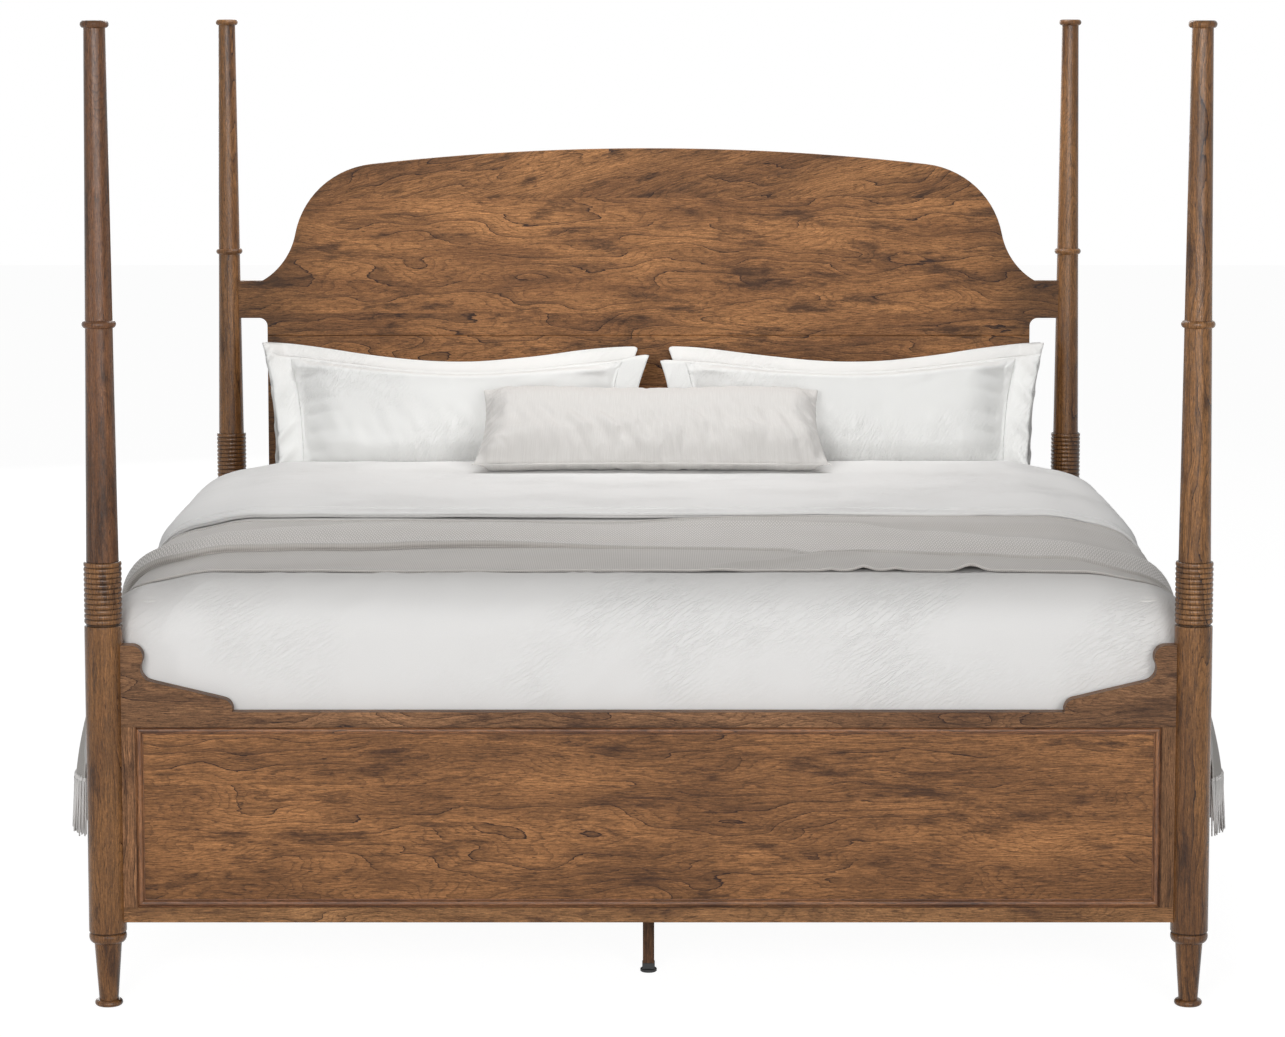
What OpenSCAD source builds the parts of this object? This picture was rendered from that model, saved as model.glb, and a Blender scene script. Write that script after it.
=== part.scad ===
// Four-poster panel bed with its mattress and bedding.
// Millimetres, +Z up, origin on the floor under the middle of the bed.
// The foot of the bed faces -Y and the headboard stands at +Y.

/* [Mattress] */
// Width of the mattress
mattress_w = 1930; // [1500:1:2000]
// Length of the mattress
mattress_l = 2032; // [1900:1:2100]
// Height of the mattress
mattress_h = 302; // [250:1:350]
// Height of each box spring
box_spring_h = 225; // [150:1:240]
// Corner radius of the mattress and the box springs, seen from above
mattress_corner_r = 45; // [20:1:60]
// From the mattress to the line of the post centres, across the bed
side_room = 42; // [40:1:60]
// From the mattress to the line of the post centres, along the bed
end_room = 64; // [62:1:80]

/* [Posts] */
// Height of the posts
post_h = 1830; // [1700:1:2000]
// Radius of the straight lower part of each post
post_r = 35; // [34:0.5:38]
// Height of the turned foot with its collar
foot_h = 141; // [130:1:152]
// Radius of the ring on the floor
foot_ring_r = 26; // [24:0.5:30]
// Height of the ring on the floor
foot_ring_h = 14; // [10:1:18]
// Radius of the leg just above that ring
ankle_r = 17.8; // [16:0.1:20]
// Radius of the leg just below the collar
calf_r = 25.4; // [22:0.1:27]
// Height of the collar at the top of the foot
collar_h = 19; // [14:1:24]
// Height of the first reeded ring
reed_z = 723; // [715:1:800]
// Number of reeded rings
reed_count = 12; // [6:1:14]
// Height of one reeded ring
reed_pitch = 9.6; // [8:0.1:11]
// Depth of the grooves between the rings
reed_depth = 2.6; // [1:0.1:4]
// Radius of the tapered part above the rings
taper_r = 29.9; // [29:0.1:32]
// Radius of the tapered part at its middle ring
waist_r = 25.3; // [25:0.1:28]
// Radius of the tapered part under its cap
tip_r = 19.9; // [17:0.1:22]
// Height of the middle ring
waist_z = 1276.5; // [1260:0.5:1350]
// How far the middle ring stands out
waist_ring_out = 6.1; // [3:0.1:8]
// How far the cap ring stands out
cap_ring_out = 6.4; // [3:0.1:8]

/* [Footboard] */
// Height of its lower edge over the floor, the same as the side rails'
rail_z = 162; // [160:1:170]
// Height of its straight upper edge
foot_top_z = 558; // [520:1:600]
// Height of the ears beside the posts
ear_z = 683; // [670:1:700]
// Thickness of the frame
foot_t = 28; // [24:0.5:34]
// Width of the rails and stiles around the panel
foot_border = 28; // [24:0.5:40]
// Thickness of the panel
foot_panel_t = 12; // [10:0.5:14]
// Depth of the groove that holds the panel
groove_d = 8; // [5:0.5:10]
// Width of the moulding
moulding_w = 14.5; // [12:0.5:18]
// How far the panel lies behind the front of the frame
panel_back = 8; // [7:0.5:10]
// Radius of the round top of an ear
ear_round_r = 22.8; // [20:0.1:25]
// Radius of the hollow under that round
ear_hollow_r = 25; // [20:0.5:28]
// Slope of the ear's long side
ear_slope = 13.5; // [10:0.5:16]
// From the post centre to the centre of that round
ear_round_u = 50.5; // [46:0.5:56]
// Angle where the round runs into the hollow
ear_turn = 26; // [15:0.5:35]
// Radius where the slope runs down into the rail
ear_toe_r = 22; // [15:0.5:30]
// From the post centre to the lower end of the slope
ear_reach = 238; // [220:1:280]
// Width of a stile that shows beside its post
stile_show = 22; // [16:0.5:30]

/* [Headboard] */
// Height of the middle of the crown
crown_z = 1523; // [1500:1:1560]
// Radius of the long arc of the crown
crown_r = 5876; // [5000:1:7000]
// From the middle of the bed to the centre of a shoulder's arc
shoulder_x = 644; // [620:1:660]
// Radius of a shoulder's arc
shoulder_r = 207; // [190:1:220]
// Radius of the hollow below a shoulder
cove_r = 167; // [150:1:180]
// Angle where the shoulder runs into the hollow
cove_a = 11; // [8:0.5:14]
// Height of the top of the arms that reach the posts
arm_z = 1205.5; // [1195:0.5:1215]
// Width of those arms
arm_h = 89; // [80:1:100]
// From the edge of the headboard below the arms to the posts
head_side_room = 56; // [47:1:72]
// Radius in the corner under an arm
arm_fillet_r = 19; // [10:1:25]
// Thickness of the headboard
head_t = 28; // [24:0.5:32]
// Height of the seam between the two boards
seam_z = 1074; // [1050:1:1090]
// Height of the top of the rail under the boards
head_rail_top = 460; // [440:1:480]
// Width of that rail
head_rail_h = 160; // [120:1:180]

/* [Side rails and slats] */
// Thickness of the side rails
rail_t = 32; // [28:0.5:35]
// Height of the side rails from edge to edge
rail_h = 220; // [200:1:230]
// Thickness of the cleats that carry the slats
cleat_t = 25; // [20:0.5:30]
// Height of those cleats
cleat_h = 40; // [35:1:50]
// Height of the top of the slats over the floor
slat_top_z = 235; // [230:1:240]
// Thickness of a slat
slat_t = 19; // [16:0.5:22]
// Width of a slat
slat_w = 89; // [70:1:110]
// From the foot posts to the first slat
first_slat = 257; // [240:1:300]
// Side of a square support leg
leg_w = 22; // [20:0.5:26]

/* [Steel and plastic pieces] */
// Height of a rail's hook plate
plate_h = 120; // [110:1:140]
// Width of the hook plates and the slotted plates
plate_w = 24; // [20:0.5:26]
// Thickness of the hook plates and the slotted plates
plate_t = 3; // [2.5:0.1:3.5]
// Radius of the studs that join the posts
stud_r = 5; // [4:0.5:6]
// Length of those studs
stud_l = 60; // [40:1:80]
// Radius of the pad of a levelling foot
pad_r = 16; // [14:0.5:20]
// Height of that pad
pad_h = 7; // [6:0.5:9]
// Radius of its threaded stem
stem_r = 4; // [3:0.5:5]
// How far a levelling foot screws out
level_travel = 15; // [5:1:16]
// Height of the black end cap of a support leg
ferrule_h = 11; // [9:1:15]
// Wall of that cap
ferrule_wall = 1.2; // [1:0.1:2]
// Height of the nail-on glides under the posts
glide_h = 2; // [1:0.5:4]
// Radius of those glides
glide_r = 12; // [8:0.5:15]

/* [Bedding] */
// Thickness of the duvet
duvet_t = 34; // [30:1:40]
// Height that the middle of the duvet gains over its edges
duvet_crown = 0; // [0:1:12]
// Radius of the duvet's edge at the sides
duvet_side_r = 95; // [80:1:100]
// Radius of the duvet's edge at the foot
duvet_foot_r = 62; // [50:1:64]
// From the mattress to where the duvet's side edge begins to fall
duvet_inset = 35; // [30:1:45]
// From the mattress's end to where the duvet's foot edge begins to fall
duvet_foot_inset = 26; // [24:1:34]
// Height of the duvet's hem at the sides
side_hem_z = 398; // [392:1:450]
// Height of the duvet's hem at the foot
foot_hem_z = 480; // [465:1:520]
// How far the sides stand out on the way down
side_flare = 44; // [20:1:50]
// From the head edge of the duvet to the lower edge of the front pillows
duvet_head_gap = 10; // [6:1:40]
// From the throw to the edge of the part of the duvet that is folded back
fold_gap = 8; // [2:1:80]
// Thickness of that folded part
fold_t = 12; // [6:1:16]
// From the foot posts to the foot edge of the throw
throw_start = 200; // [180:1:260]
// Width of the throw along the bed
throw_w = 690; // [600:1:770]
// Thickness of the throw
throw_t = 5; // [3:0.5:8]
// Height of the end of the throw's fringe
throw_end_z = 280; // [260:1:340]
// How far the hanging ends of the throw swing out past the duvet
throw_flare = 22; // [10:1:30]

/* [Pillows] */
// Width of a pillow with its flanges
pillow_w = 905; // [850:1:920]
// Height of a pillow at its corners
pillow_h = 350; // [320:1:360]
// Thickness of a pillow at its crown
pillow_t = 104; // [80:1:110]
// Width of the flat flange around a pillow
flange_w = 50; // [30:1:60]
// Lean of the pillows from the level
pillow_lean = 62; // [58:1:70]
// From the head posts to the lower edge of the front pillows
pillow_front = 310; // [304:1:314]
// From the front pillows to the back pillows, square to their faces
pillow_step = 108; // [106:1:116]
// Half the space between the two front pillows
pillow_gap = 14; // [5:1:20]
// How far the back pillows are shifted out from the front ones
back_shift = 21; // [0:1:30]
// How far the pillows lie to the right of the middle
pillow_offset = 11; // [-15:1:15]
// Width of the lumbar pillow
lumbar_w = 812; // [750:1:850]
// Height of the lumbar pillow
lumbar_h = 310; // [280:1:330]
// Thickness of the lumbar pillow at its crown
lumbar_t = 118; // [90:1:120]
// Lean of the lumbar pillow from the level
lumbar_lean = 29; // [27:1:34]
// From the lower edge of the front pillows to that of the lumbar pillow
lumbar_front = 250; // [230:1:300]

/* [Hidden] */

$fn = 64;
// Clearances: between wooden pieces, round a running or fixed pin, and between bodies
wood_gap = 0.1;
pin_gap = 0.05;
body_gap = 0.5;
// Overlength of a cutting solid past the face that it cuts
cut = 1;

wood = "sienna";
wood_dark = "saddlebrown";
linen = "white";

// Places that follow from the sizes above
post_x = mattress_w / 2 + side_room;
post_y = mattress_l / 2 + end_room;
reed_top = reed_z + reed_count * reed_pitch;
post_groove_d = 3.5;
post_groove_h = 4;
post_edge = 2;
waist_ring_h = 14;
cap_ring_h = 14;
head_half_w = post_x - post_r - head_side_room;
// Flat seats of round posts, where a board of thickness t meets a post of radius r
seat_depth = 1;
function seat(r, t) = sqrt(r * r - t * t / 4) - seat_depth;
rail_seat = seat(post_r, rail_t);
foot_seat = seat(post_r, foot_t);
head_low_seat = seat(post_r, head_t);
arm_post_r = waist_r + (taper_r - waist_r) * (waist_z - arm_z) / (waist_z - reed_top);
arm_seat = seat(arm_post_r, head_t);
tenon_t = 12;
tenon_l = 16;
arm_tenon_l = 12;
tenon_shoulder = 5;
ear_tenon_shoulder = 30;
head_tenon_shoulder = 20;
arm_tenon_shoulder = 15;
groove_wall = 2;

frame_front = -post_y - foot_t / 2;
panel_front = frame_front + panel_back;
foot_inner_x = post_x - post_r - stile_show;
foot_inner_z0 = rail_z + foot_border;
foot_inner_z1 = foot_top_z - foot_border;

top_tenon_z0 = foot_inner_z1 + groove_d + tenon_shoulder;
top_tenon_z1 = ear_z - ear_tenon_shoulder;
bottom_tenon_z0 = rail_z + tenon_shoulder;
bottom_tenon_z1 = foot_inner_z0 - groove_d - groove_wall;
head_rail_half_l = post_x - head_low_seat;
head_tenon_z0 = head_rail_top - head_rail_h + head_tenon_shoulder;
head_tenon_z1 = head_rail_top - head_tenon_shoulder;
arm_tenon_z0 = arm_z - arm_h + arm_tenon_shoulder;
arm_tenon_z1 = arm_z - arm_tenon_shoulder;

rail_len = 2 * (post_y - rail_seat - wood_gap);
rail_top = rail_z + rail_h;
rail_inner_x = post_x - rail_t / 2;
slat_z = slat_top_z - slat_t;
cleat_inner_x = rail_inner_x - cleat_t;
slat_count = 5;
slat_end_gap = 2;
slat_half_l = rail_inner_x - slat_end_gap;
slat_step = 2 * (post_y - first_slat) / (slat_count - 1);
function slat_y(i) = -post_y + first_slat + (i - 1) * slat_step;
leg_slats = [1, 3, 5];
cleat_end_room = 30;
cleat_l = rail_len - 2 * cleat_end_room;
cleat_mid_z = slat_z - cleat_h / 2;
cleat_screw_y = [for (i = [1 : slat_count - 1]) slat_y(i) + slat_step / 2];
slat_screw_x = rail_inner_x - cleat_t / 2;

// Hook plates on the rail ends and slotted plates in the posts
plate_mid_z = rail_z + rail_h / 2;
slot_plate_more = 10;
slot_plate_h = plate_h + 2 * slot_plate_more;
hook_w = 4;
hook_t = 4;
hook_gap = 0.5;
hook_neck_h = 14;
hook_drop = 12;
hook_low = -38;
hook_high = 14;
hook_z = [plate_mid_z + hook_low, plate_mid_z + hook_high];
hook_play = 1;
slot_w = hook_w + hook_play;
slot_h = hook_neck_h + hook_drop + hook_play;
pocket_d = hook_t + hook_gap + hook_play;
rail_end_y = rail_seat + wood_gap;
hook_screw_inset = 7;
hook_screw_reach = plate_h / 2 - hook_screw_inset;
hook_screw_z = [plate_mid_z - hook_screw_reach, plate_mid_z, plate_mid_z + hook_screw_reach];
slot_screw_inset = 6;
slot_screw_reach = slot_plate_h / 2 - slot_screw_inset;
slot_screw_z = [plate_mid_z - slot_screw_reach, plate_mid_z + slot_screw_reach];

// Countersunk screws
screw_r = 2.1;
screw_head_r = 4;
screw_head_h = 2;
plate_screw_l = 18;
cleat_screw_l = 45;
slat_screw_l = 42;
leg_screw_l = 75;

// The end cap of a support leg, the socket that rises from it into the leg, and the stem in that socket
cap_floor = 1.6;
cap_z = pad_h + wood_gap;
cap_w = leg_w + 2 * ferrule_wall;
leg_z = cap_z + cap_floor;
leg_wall = 4.5;
boss_r = leg_w / 2 - leg_wall;
boss_h = 30;
boss_top = leg_z + boss_h;
boss_end_gap = 2;
stem_top_gap = 3;
stem_top = boss_top - stem_top_gap;
stem_sunk = 4;
stem_seat = pad_h - stem_sunk;
pad_bevel = 1.5;

mattress_z = slat_top_z + box_spring_h + body_gap;
bed_z = mattress_z + mattress_h;
duvet_z = bed_z + body_gap + duvet_t;
duvet_edge_x = mattress_w / 2 - duvet_inset;
duvet_edge_y = -mattress_l / 2 + duvet_foot_inset;
throw_y0 = -post_y + throw_start;
fold_y = throw_y0 + throw_w + fold_gap;
side_depth = duvet_z - side_hem_z;
foot_depth = duvet_z - foot_hem_z;

pillow_mid_x = pillow_w / 2 + pillow_gap;
pillow_y = post_y - pillow_front;
pillow_step_y = pillow_step / sin(pillow_lean);
// How far the belly of a leaning pillow hangs below its lower edge
pillow_sag = 1.5;
pillow_rest_z = bed_z + body_gap + pillow_sag;
duvet_head_y = pillow_y - duvet_head_gap;
// How far the belly of the leaning lumbar pillow hangs below its lower edge
lumbar_sag = 11.8;
lumbar_rest_z = duvet_z + fold_t + duvet_crown + lumbar_sag;

function arc(x, y, r, a0, a1, n) =
    [for (i = [0 : n]) [x + r * cos(a0 + (a1 - a0) * i / n), y + r * sin(a0 + (a1 - a0) * i / n)]];
function mirror_list(points) = [for (i = [len(points) - 1 : -1 : 0]) [-points[i][0], points[i][1]]];
// Half-round bead on a turned profile, from z0 to z1, standing out from r_in to r_out
function bead(z0, z1, r_in, r_out, step) =
    [for (a = [-90 : step : 90])
        [r_in + (r_out - r_in) * cos(a), (z0 + z1) / 2 + (z1 - z0) / 2 * sin(a)]];

// The turned posts
foot_ring_out = 6;
collar_round_w = 3;
collar_round_h = 6;
collar_wide_z = foot_h - collar_round_h;
collar_top_r = post_r - collar_round_w;
collar_under_z = foot_h - collar_h;
foot_profile = concat(
    [[0, glide_h]],
    bead(glide_h, foot_ring_h, foot_ring_r - foot_ring_out, foot_ring_r, 22.5),
    [[ankle_r, foot_ring_h], [calf_r, collar_under_z]],
    [for (a = [-75 : 15 : 0])
        [calf_r + (post_r - calf_r) * cos(a), collar_wide_z + (collar_wide_z - collar_under_z) * sin(a)]],
    [for (a = [30 : 30 : 90])
        [collar_top_r + collar_round_w * cos(a), collar_wide_z + collar_round_h * sin(a)]],
    [[0, foot_h]]
);
reeds = [for (k = [0 : reed_count - 1])
    each bead(reed_z + k * reed_pitch, reed_z + (k + 1) * reed_pitch, post_r - reed_depth, post_r, 30)];
lower_profile = concat(
    [[0, foot_h], [collar_top_r, foot_h], [collar_top_r, foot_h + post_edge]],
    arc(post_r - post_edge, foot_h + 2 * post_edge, post_edge, -60, 0, 2),
    arc(post_r - post_edge, reed_z - post_groove_h - post_edge, post_edge, 0, 60, 2),
    [[post_r - post_groove_d, reed_z - post_groove_h + 1], [post_r - post_groove_d, reed_z - 1]],
    reeds,
    [[0, reed_top]]
);
waist_z0 = waist_z - waist_ring_h / 2;
waist_z1 = waist_z + waist_ring_h / 2;
cap_z0 = post_h - cap_ring_h;
upper_profile = concat(
    [[0, reed_top], [taper_r, reed_top]],
    bead(waist_z0, waist_z1, waist_r, waist_r + waist_ring_out, 22.5),
    bead(cap_z0, post_h, tip_r, tip_r + cap_ring_out, 22.5),
    [[0, post_h]]
);

// Puts the children at a post, turned so that local +X and +Y point to the middle of the bed
module at_post(side, end)
    translate([side * post_x, end * post_y, 0])
        mirror([side > 0 ? 1 : 0, 0, 0])
            mirror([0, end > 0 ? 1 : 0, 0])
                children();

stud_end_gap = 1;
module stud_bore(z)
    translate([0, 0, z - stud_l / 2 - stud_end_gap])
        cylinder(r = stud_r + pin_gap, h = stud_l + 2 * stud_end_gap);

// Flat seat cut into a round post for a board of thickness t in the plane of two posts
module board_seat(seat_x, t, z0, z1)
    translate([seat_x, -t / 2 - wood_gap, z0 - wood_gap])
        cube([post_r, t + 2 * wood_gap, z1 - z0 + 2 * wood_gap]);

// Mortise behind that seat
module mortise(seat_x, depth, z0, z1)
    translate([seat_x - depth - wood_gap, -tenon_t / 2 - wood_gap, z0 - wood_gap])
        cube([depth + wood_gap + cut, tenon_t + 2 * wood_gap, z1 - z0 + 2 * wood_gap]);

module post_foot(side, end) color(wood) at_post(side, end)
    difference() {
        rotate_extrude() polygon(foot_profile);
        stud_bore(foot_h);
    }

// The flat, the plate's recess, the pockets and the screw holes for a side rail
module rail_joint_cuts() {
    translate([-rail_t / 2 - wood_gap, rail_seat, rail_z - wood_gap])
        cube([rail_t + 2 * wood_gap, post_r, rail_h + 2 * wood_gap]);
    translate([-plate_w / 2 - wood_gap, rail_seat - plate_t, plate_mid_z - slot_plate_h / 2 - wood_gap])
        cube([plate_w + 2 * wood_gap, plate_t + cut, slot_plate_h + 2 * wood_gap]);
    for (z = hook_z)
        translate([-slot_w / 2, rail_seat - plate_t - pocket_d, z - hook_drop - hook_play])
            cube([slot_w, pocket_d + cut, slot_h + hook_drop + 2 * hook_play]);
    for (z = slot_screw_z)
        translate([0, rail_seat, z]) rotate([90, 0, 0])
            screw_hole(plate_screw_l);
}

module post_lower(side, end) color(wood) at_post(side, end)
    difference() {
        rotate_extrude() polygon(lower_profile);
        stud_bore(foot_h);
        stud_bore(reed_top);
        rail_joint_cuts();
        if (end < 0) {
            board_seat(foot_seat, foot_t, rail_z, ear_z);
            mortise(foot_seat, tenon_l, top_tenon_z0, top_tenon_z1);
            mortise(foot_seat, tenon_l, bottom_tenon_z0, bottom_tenon_z1);
        } else {
            board_seat(head_low_seat, head_t, head_rail_top - head_rail_h, head_rail_top);
            mortise(head_low_seat, tenon_l, head_tenon_z0, head_tenon_z1);
        }
    }

module post_upper(side, end) color(wood) at_post(side, end)
    difference() {
        rotate_extrude() polygon(upper_profile);
        stud_bore(reed_top);
        if (end > 0) {
            board_seat(arm_seat, head_t, arm_z - arm_h, arm_z);
            mortise(arm_seat, arm_tenon_l, arm_tenon_z0, arm_tenon_z1);
        }
    }

module foot_glides() color("dimgray")
    for (side = [-1, 1]) for (end = [-1, 1])
        at_post(side, end) cylinder(r = glide_r, h = glide_h);

module post_studs() color("silver")
    for (side = [-1, 1]) for (end = [-1, 1]) for (z = [foot_h, reed_top])
        at_post(side, end) translate([0, 0, z - stud_l / 2])
            cylinder(r = stud_r, h = stud_l);

// Countersunk screw along +Z with its head's face at z = 0, and the hole that it fills
module screw(length) {
    cylinder(r1 = screw_head_r, r2 = screw_r, h = screw_head_h);
    cylinder(r = screw_r, h = length);
}
module screw_hole(length) {
    cylinder(r1 = screw_head_r + pin_gap, r2 = screw_r + pin_gap, h = screw_head_h);
    cylinder(r = screw_r + pin_gap, h = length + pin_gap);
}

// Board in the plane of a pair of posts: children are drawn with x across and y as the height
module upright_board(y, t)
    translate([0, y + t / 2, 0]) rotate([90, 0, 0]) linear_extrude(t) children();

// Tenons at both ends of a board that stands between two posts
module end_tenons(y, reach, depth, z0, z1)
    for (side = [-1, 1])
        translate([side * (reach + depth / 2 - cut / 2), y, (z0 + z1) / 2])
            cube([depth + cut, tenon_t, z1 - z0], center = true);

// The ear from its post inwards, then down into the top rail
ear_round_z = ear_z - ear_round_r;
ear_hollow_u = ear_round_u + (ear_round_r + ear_hollow_r) * cos(ear_turn);
ear_hollow_z = ear_round_z - (ear_round_r + ear_hollow_r) * sin(ear_turn);
ear_toe_u = ear_reach - ear_toe_r;
ear_slope_u = ear_hollow_u - ear_hollow_r * sin(ear_slope);
ear_slope_z = ear_hollow_z - ear_hollow_r * cos(ear_slope);
ear_slope_l = (ear_toe_u - ear_slope_u + ear_toe_r * sin(ear_slope)) / cos(ear_slope);
ear_toe_z = ear_slope_z - ear_slope_l * sin(ear_slope) - ear_toe_r * cos(ear_slope);
ear_points = concat(
    [[foot_seat, foot_inner_z1], [foot_seat, ear_z]],
    arc(ear_round_u, ear_round_z, ear_round_r, 90, -ear_turn, 12),
    arc(ear_hollow_u, ear_hollow_z, ear_hollow_r, 180 - ear_turn, 270 - ear_slope, 10),
    arc(ear_toe_u, ear_toe_z, ear_toe_r, 90 - ear_slope, 0, 8),
    [[ear_reach, foot_inner_z1]]
);
ear_right = [for (p = ear_points) [post_x - p[0], p[1]]];
foot_half_l = post_x - foot_seat;

module panel_groove(x0, x1, z0, z1)
    translate([x0, panel_front - wood_gap, z0])
        cube([x1 - x0, foot_panel_t + 2 * wood_gap, z1 - z0]);

module footboard_top_rail() color(wood_dark)
    difference() {
        union() {
            upright_board(-post_y, foot_t) polygon(ear_right);
            upright_board(-post_y, foot_t) polygon(mirror_list(ear_right));
            upright_board(-post_y, foot_t)
                translate([-foot_half_l, foot_inner_z1]) square([2 * foot_half_l, foot_border]);
            end_tenons(-post_y, foot_half_l, tenon_l, top_tenon_z0, top_tenon_z1);
        }
        panel_groove(-foot_half_l, foot_half_l, foot_inner_z1 - cut, foot_inner_z1 + groove_d);
    }

module footboard_bottom_rail() color(wood_dark)
    difference() {
        union() {
            upright_board(-post_y, foot_t)
                translate([-foot_half_l, rail_z]) square([2 * foot_half_l, foot_border]);
            end_tenons(-post_y, foot_half_l, tenon_l, bottom_tenon_z0, bottom_tenon_z1);
        }
        panel_groove(-foot_half_l, foot_half_l, foot_inner_z0 - groove_d, foot_inner_z0 + cut);
    }

module footboard_stile(side) color(wood_dark) mirror([side < 0 ? 1 : 0, 0, 0])
    difference() {
        union() {
            upright_board(-post_y, foot_t)
                translate([foot_inner_x, foot_inner_z0])
                    square([foot_half_l - foot_inner_x, foot_inner_z1 - foot_inner_z0]);
            translate([foot_inner_x, panel_front, foot_inner_z0 - groove_d + wood_gap])
                cube([foot_half_l - foot_inner_x, foot_panel_t,
                    foot_inner_z1 - foot_inner_z0 + 2 * groove_d - 2 * wood_gap]);
        }
        panel_groove(foot_inner_x - cut, foot_inner_x + groove_d,
            foot_inner_z0 - groove_d - cut, foot_inner_z1 + groove_d + cut);
    }

panel_slip = groove_d - 2 * wood_gap;
module footboard_panel() color(wood)
    translate([-foot_inner_x - panel_slip, panel_front, foot_inner_z0 - panel_slip])
        cube([2 * (foot_inner_x + panel_slip), foot_panel_t,
            foot_inner_z1 - foot_inner_z0 + 2 * panel_slip]);

// Bead moulding: a quirk at the frame, a half-round and a fillet on the panel
moulding_under = 0.6;
moulding_h = panel_back - moulding_under;
quirk_w = 1.8;
quirk_h = 2.6;
fillet_h = 1.6;
bead_rx = (moulding_w - 2 * quirk_w) / 2;
moulding_profile = concat(
    [[0, 0], [0, quirk_h], [quirk_w, quirk_h]],
    [for (a = [165 : -15 : 15])
        [moulding_w / 2 + bead_rx * cos(a), quirk_h + (moulding_h - quirk_h) * sin(a)]],
    [[moulding_w - quirk_w, fillet_h], [moulding_w, fillet_h], [moulding_w, 0]]
);
mitre_gap = 0.05;
// Strip along +X from 0 to length, lying on the panel under a frame edge at z = 0
module moulding_strip(length)
    intersection() {
        rotate([90, 0, 90]) linear_extrude(length)
            polygon([for (p = moulding_profile) [panel_front - p[1], -p[0]]]);
        upright_board(panel_front, 4 * panel_back)
            polygon([[mitre_gap, 0], [length - mitre_gap, 0],
                [length - moulding_w - mitre_gap, -moulding_w], [moulding_w + mitre_gap, -moulding_w]]);
    }
inner_w = 2 * foot_inner_x;
inner_h = foot_inner_z1 - foot_inner_z0;
module footboard_moulding_top() color(wood)
    translate([-foot_inner_x, 0, foot_inner_z1]) moulding_strip(inner_w);
module footboard_moulding_bottom() color(wood)
    translate([-foot_inner_x, 0, foot_inner_z0]) mirror([0, 0, 1]) moulding_strip(inner_w);
module footboard_moulding_side(side) color(wood)
    mirror([side > 0 ? 1 : 0, 0, 0])
        translate([-foot_inner_x, 0, foot_inner_z0]) rotate([0, -90, 0]) moulding_strip(inner_h);

// The crown: long arc, shoulder and hollow, each tangent to the next
crown_c = crown_z - crown_r;
shoulder_z = crown_c + sqrt(pow(crown_r - shoulder_r, 2) - pow(shoulder_x, 2));
shoulder_a = atan2(shoulder_z - crown_c, shoulder_x);
cove_x = shoulder_x + (shoulder_r + cove_r) * cos(cove_a);
cove_z = shoulder_z + (shoulder_r + cove_r) * sin(cove_a);
cove_end_a = 180 + asin((cove_z - arm_z) / cove_r);
arm_half_l = post_x - arm_seat;
crown_half = concat(
    arc(0, crown_c, crown_r, 90, shoulder_a, 12),
    arc(shoulder_x, shoulder_z, shoulder_r, shoulder_a, cove_a, 14),
    arc(cove_x, cove_z, cove_r, 180 + cove_a, cove_end_a, 12),
    [[arm_half_l, arm_z], [arm_half_l, arm_z - arm_h]],
    arc(head_half_w + arm_fillet_r, arm_z - arm_h - arm_fillet_r, arm_fillet_r, 90, 180, 6),
    [[head_half_w, seam_z]]
);
seam_bevel = 1.6;
tongue_t = 8;
tongue_l = 8;

module headboard_upper_board() color(wood)
    difference() {
        union() {
            upright_board(post_y, head_t)
                polygon(concat(crown_half, mirror_list(crown_half)));
            end_tenons(post_y, arm_half_l, arm_tenon_l, arm_tenon_z0, arm_tenon_z1);
        }
        translate([-head_half_w - cut, post_y - tongue_t / 2 - wood_gap, seam_z - cut])
            cube([2 * (head_half_w + cut), tongue_t + 2 * wood_gap, tongue_l + cut + wood_gap]);
        translate([0, post_y - head_t / 2, seam_z]) rotate([45, 0, 0])
            cube([2 * (head_half_w + cut), seam_bevel * sqrt(2), seam_bevel * sqrt(2)], center = true);
    }

// End view of the lower board: a tongue at each edge and a bevel at the seam
lower_board_view = [
    [-head_t / 2, head_rail_top], [-tongue_t / 2, head_rail_top], [-tongue_t / 2, head_rail_top - tongue_l],
    [tongue_t / 2, head_rail_top - tongue_l], [tongue_t / 2, head_rail_top], [head_t / 2, head_rail_top],
    [head_t / 2, seam_z], [tongue_t / 2, seam_z], [tongue_t / 2, seam_z + tongue_l],
    [-tongue_t / 2, seam_z + tongue_l], [-tongue_t / 2, seam_z],
    [-head_t / 2 + seam_bevel, seam_z], [-head_t / 2, seam_z - seam_bevel]
];
module headboard_lower_board() color(wood)
    translate([-head_half_w, post_y, 0]) rotate([90, 0, 90])
        linear_extrude(2 * head_half_w) polygon(lower_board_view);

module headboard_bottom_rail() color(wood_dark)
    difference() {
        union() {
            upright_board(post_y, head_t)
                translate([-head_rail_half_l, head_rail_top - head_rail_h])
                    square([2 * head_rail_half_l, head_rail_h]);
            end_tenons(post_y, head_rail_half_l, tenon_l, head_tenon_z0, head_tenon_z1);
        }
        translate([-head_half_w - wood_gap, post_y - tongue_t / 2 - wood_gap, head_rail_top - tongue_l - wood_gap])
            cube([2 * (head_half_w + wood_gap), tongue_t + 2 * wood_gap, tongue_l + cut]);
    }

// Puts the children at both ends of a side rail, with local +Y along the rail from the post's axis
module rail_ends(side)
    for (end = [-1, 1]) at_post(side, end) children();

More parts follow.
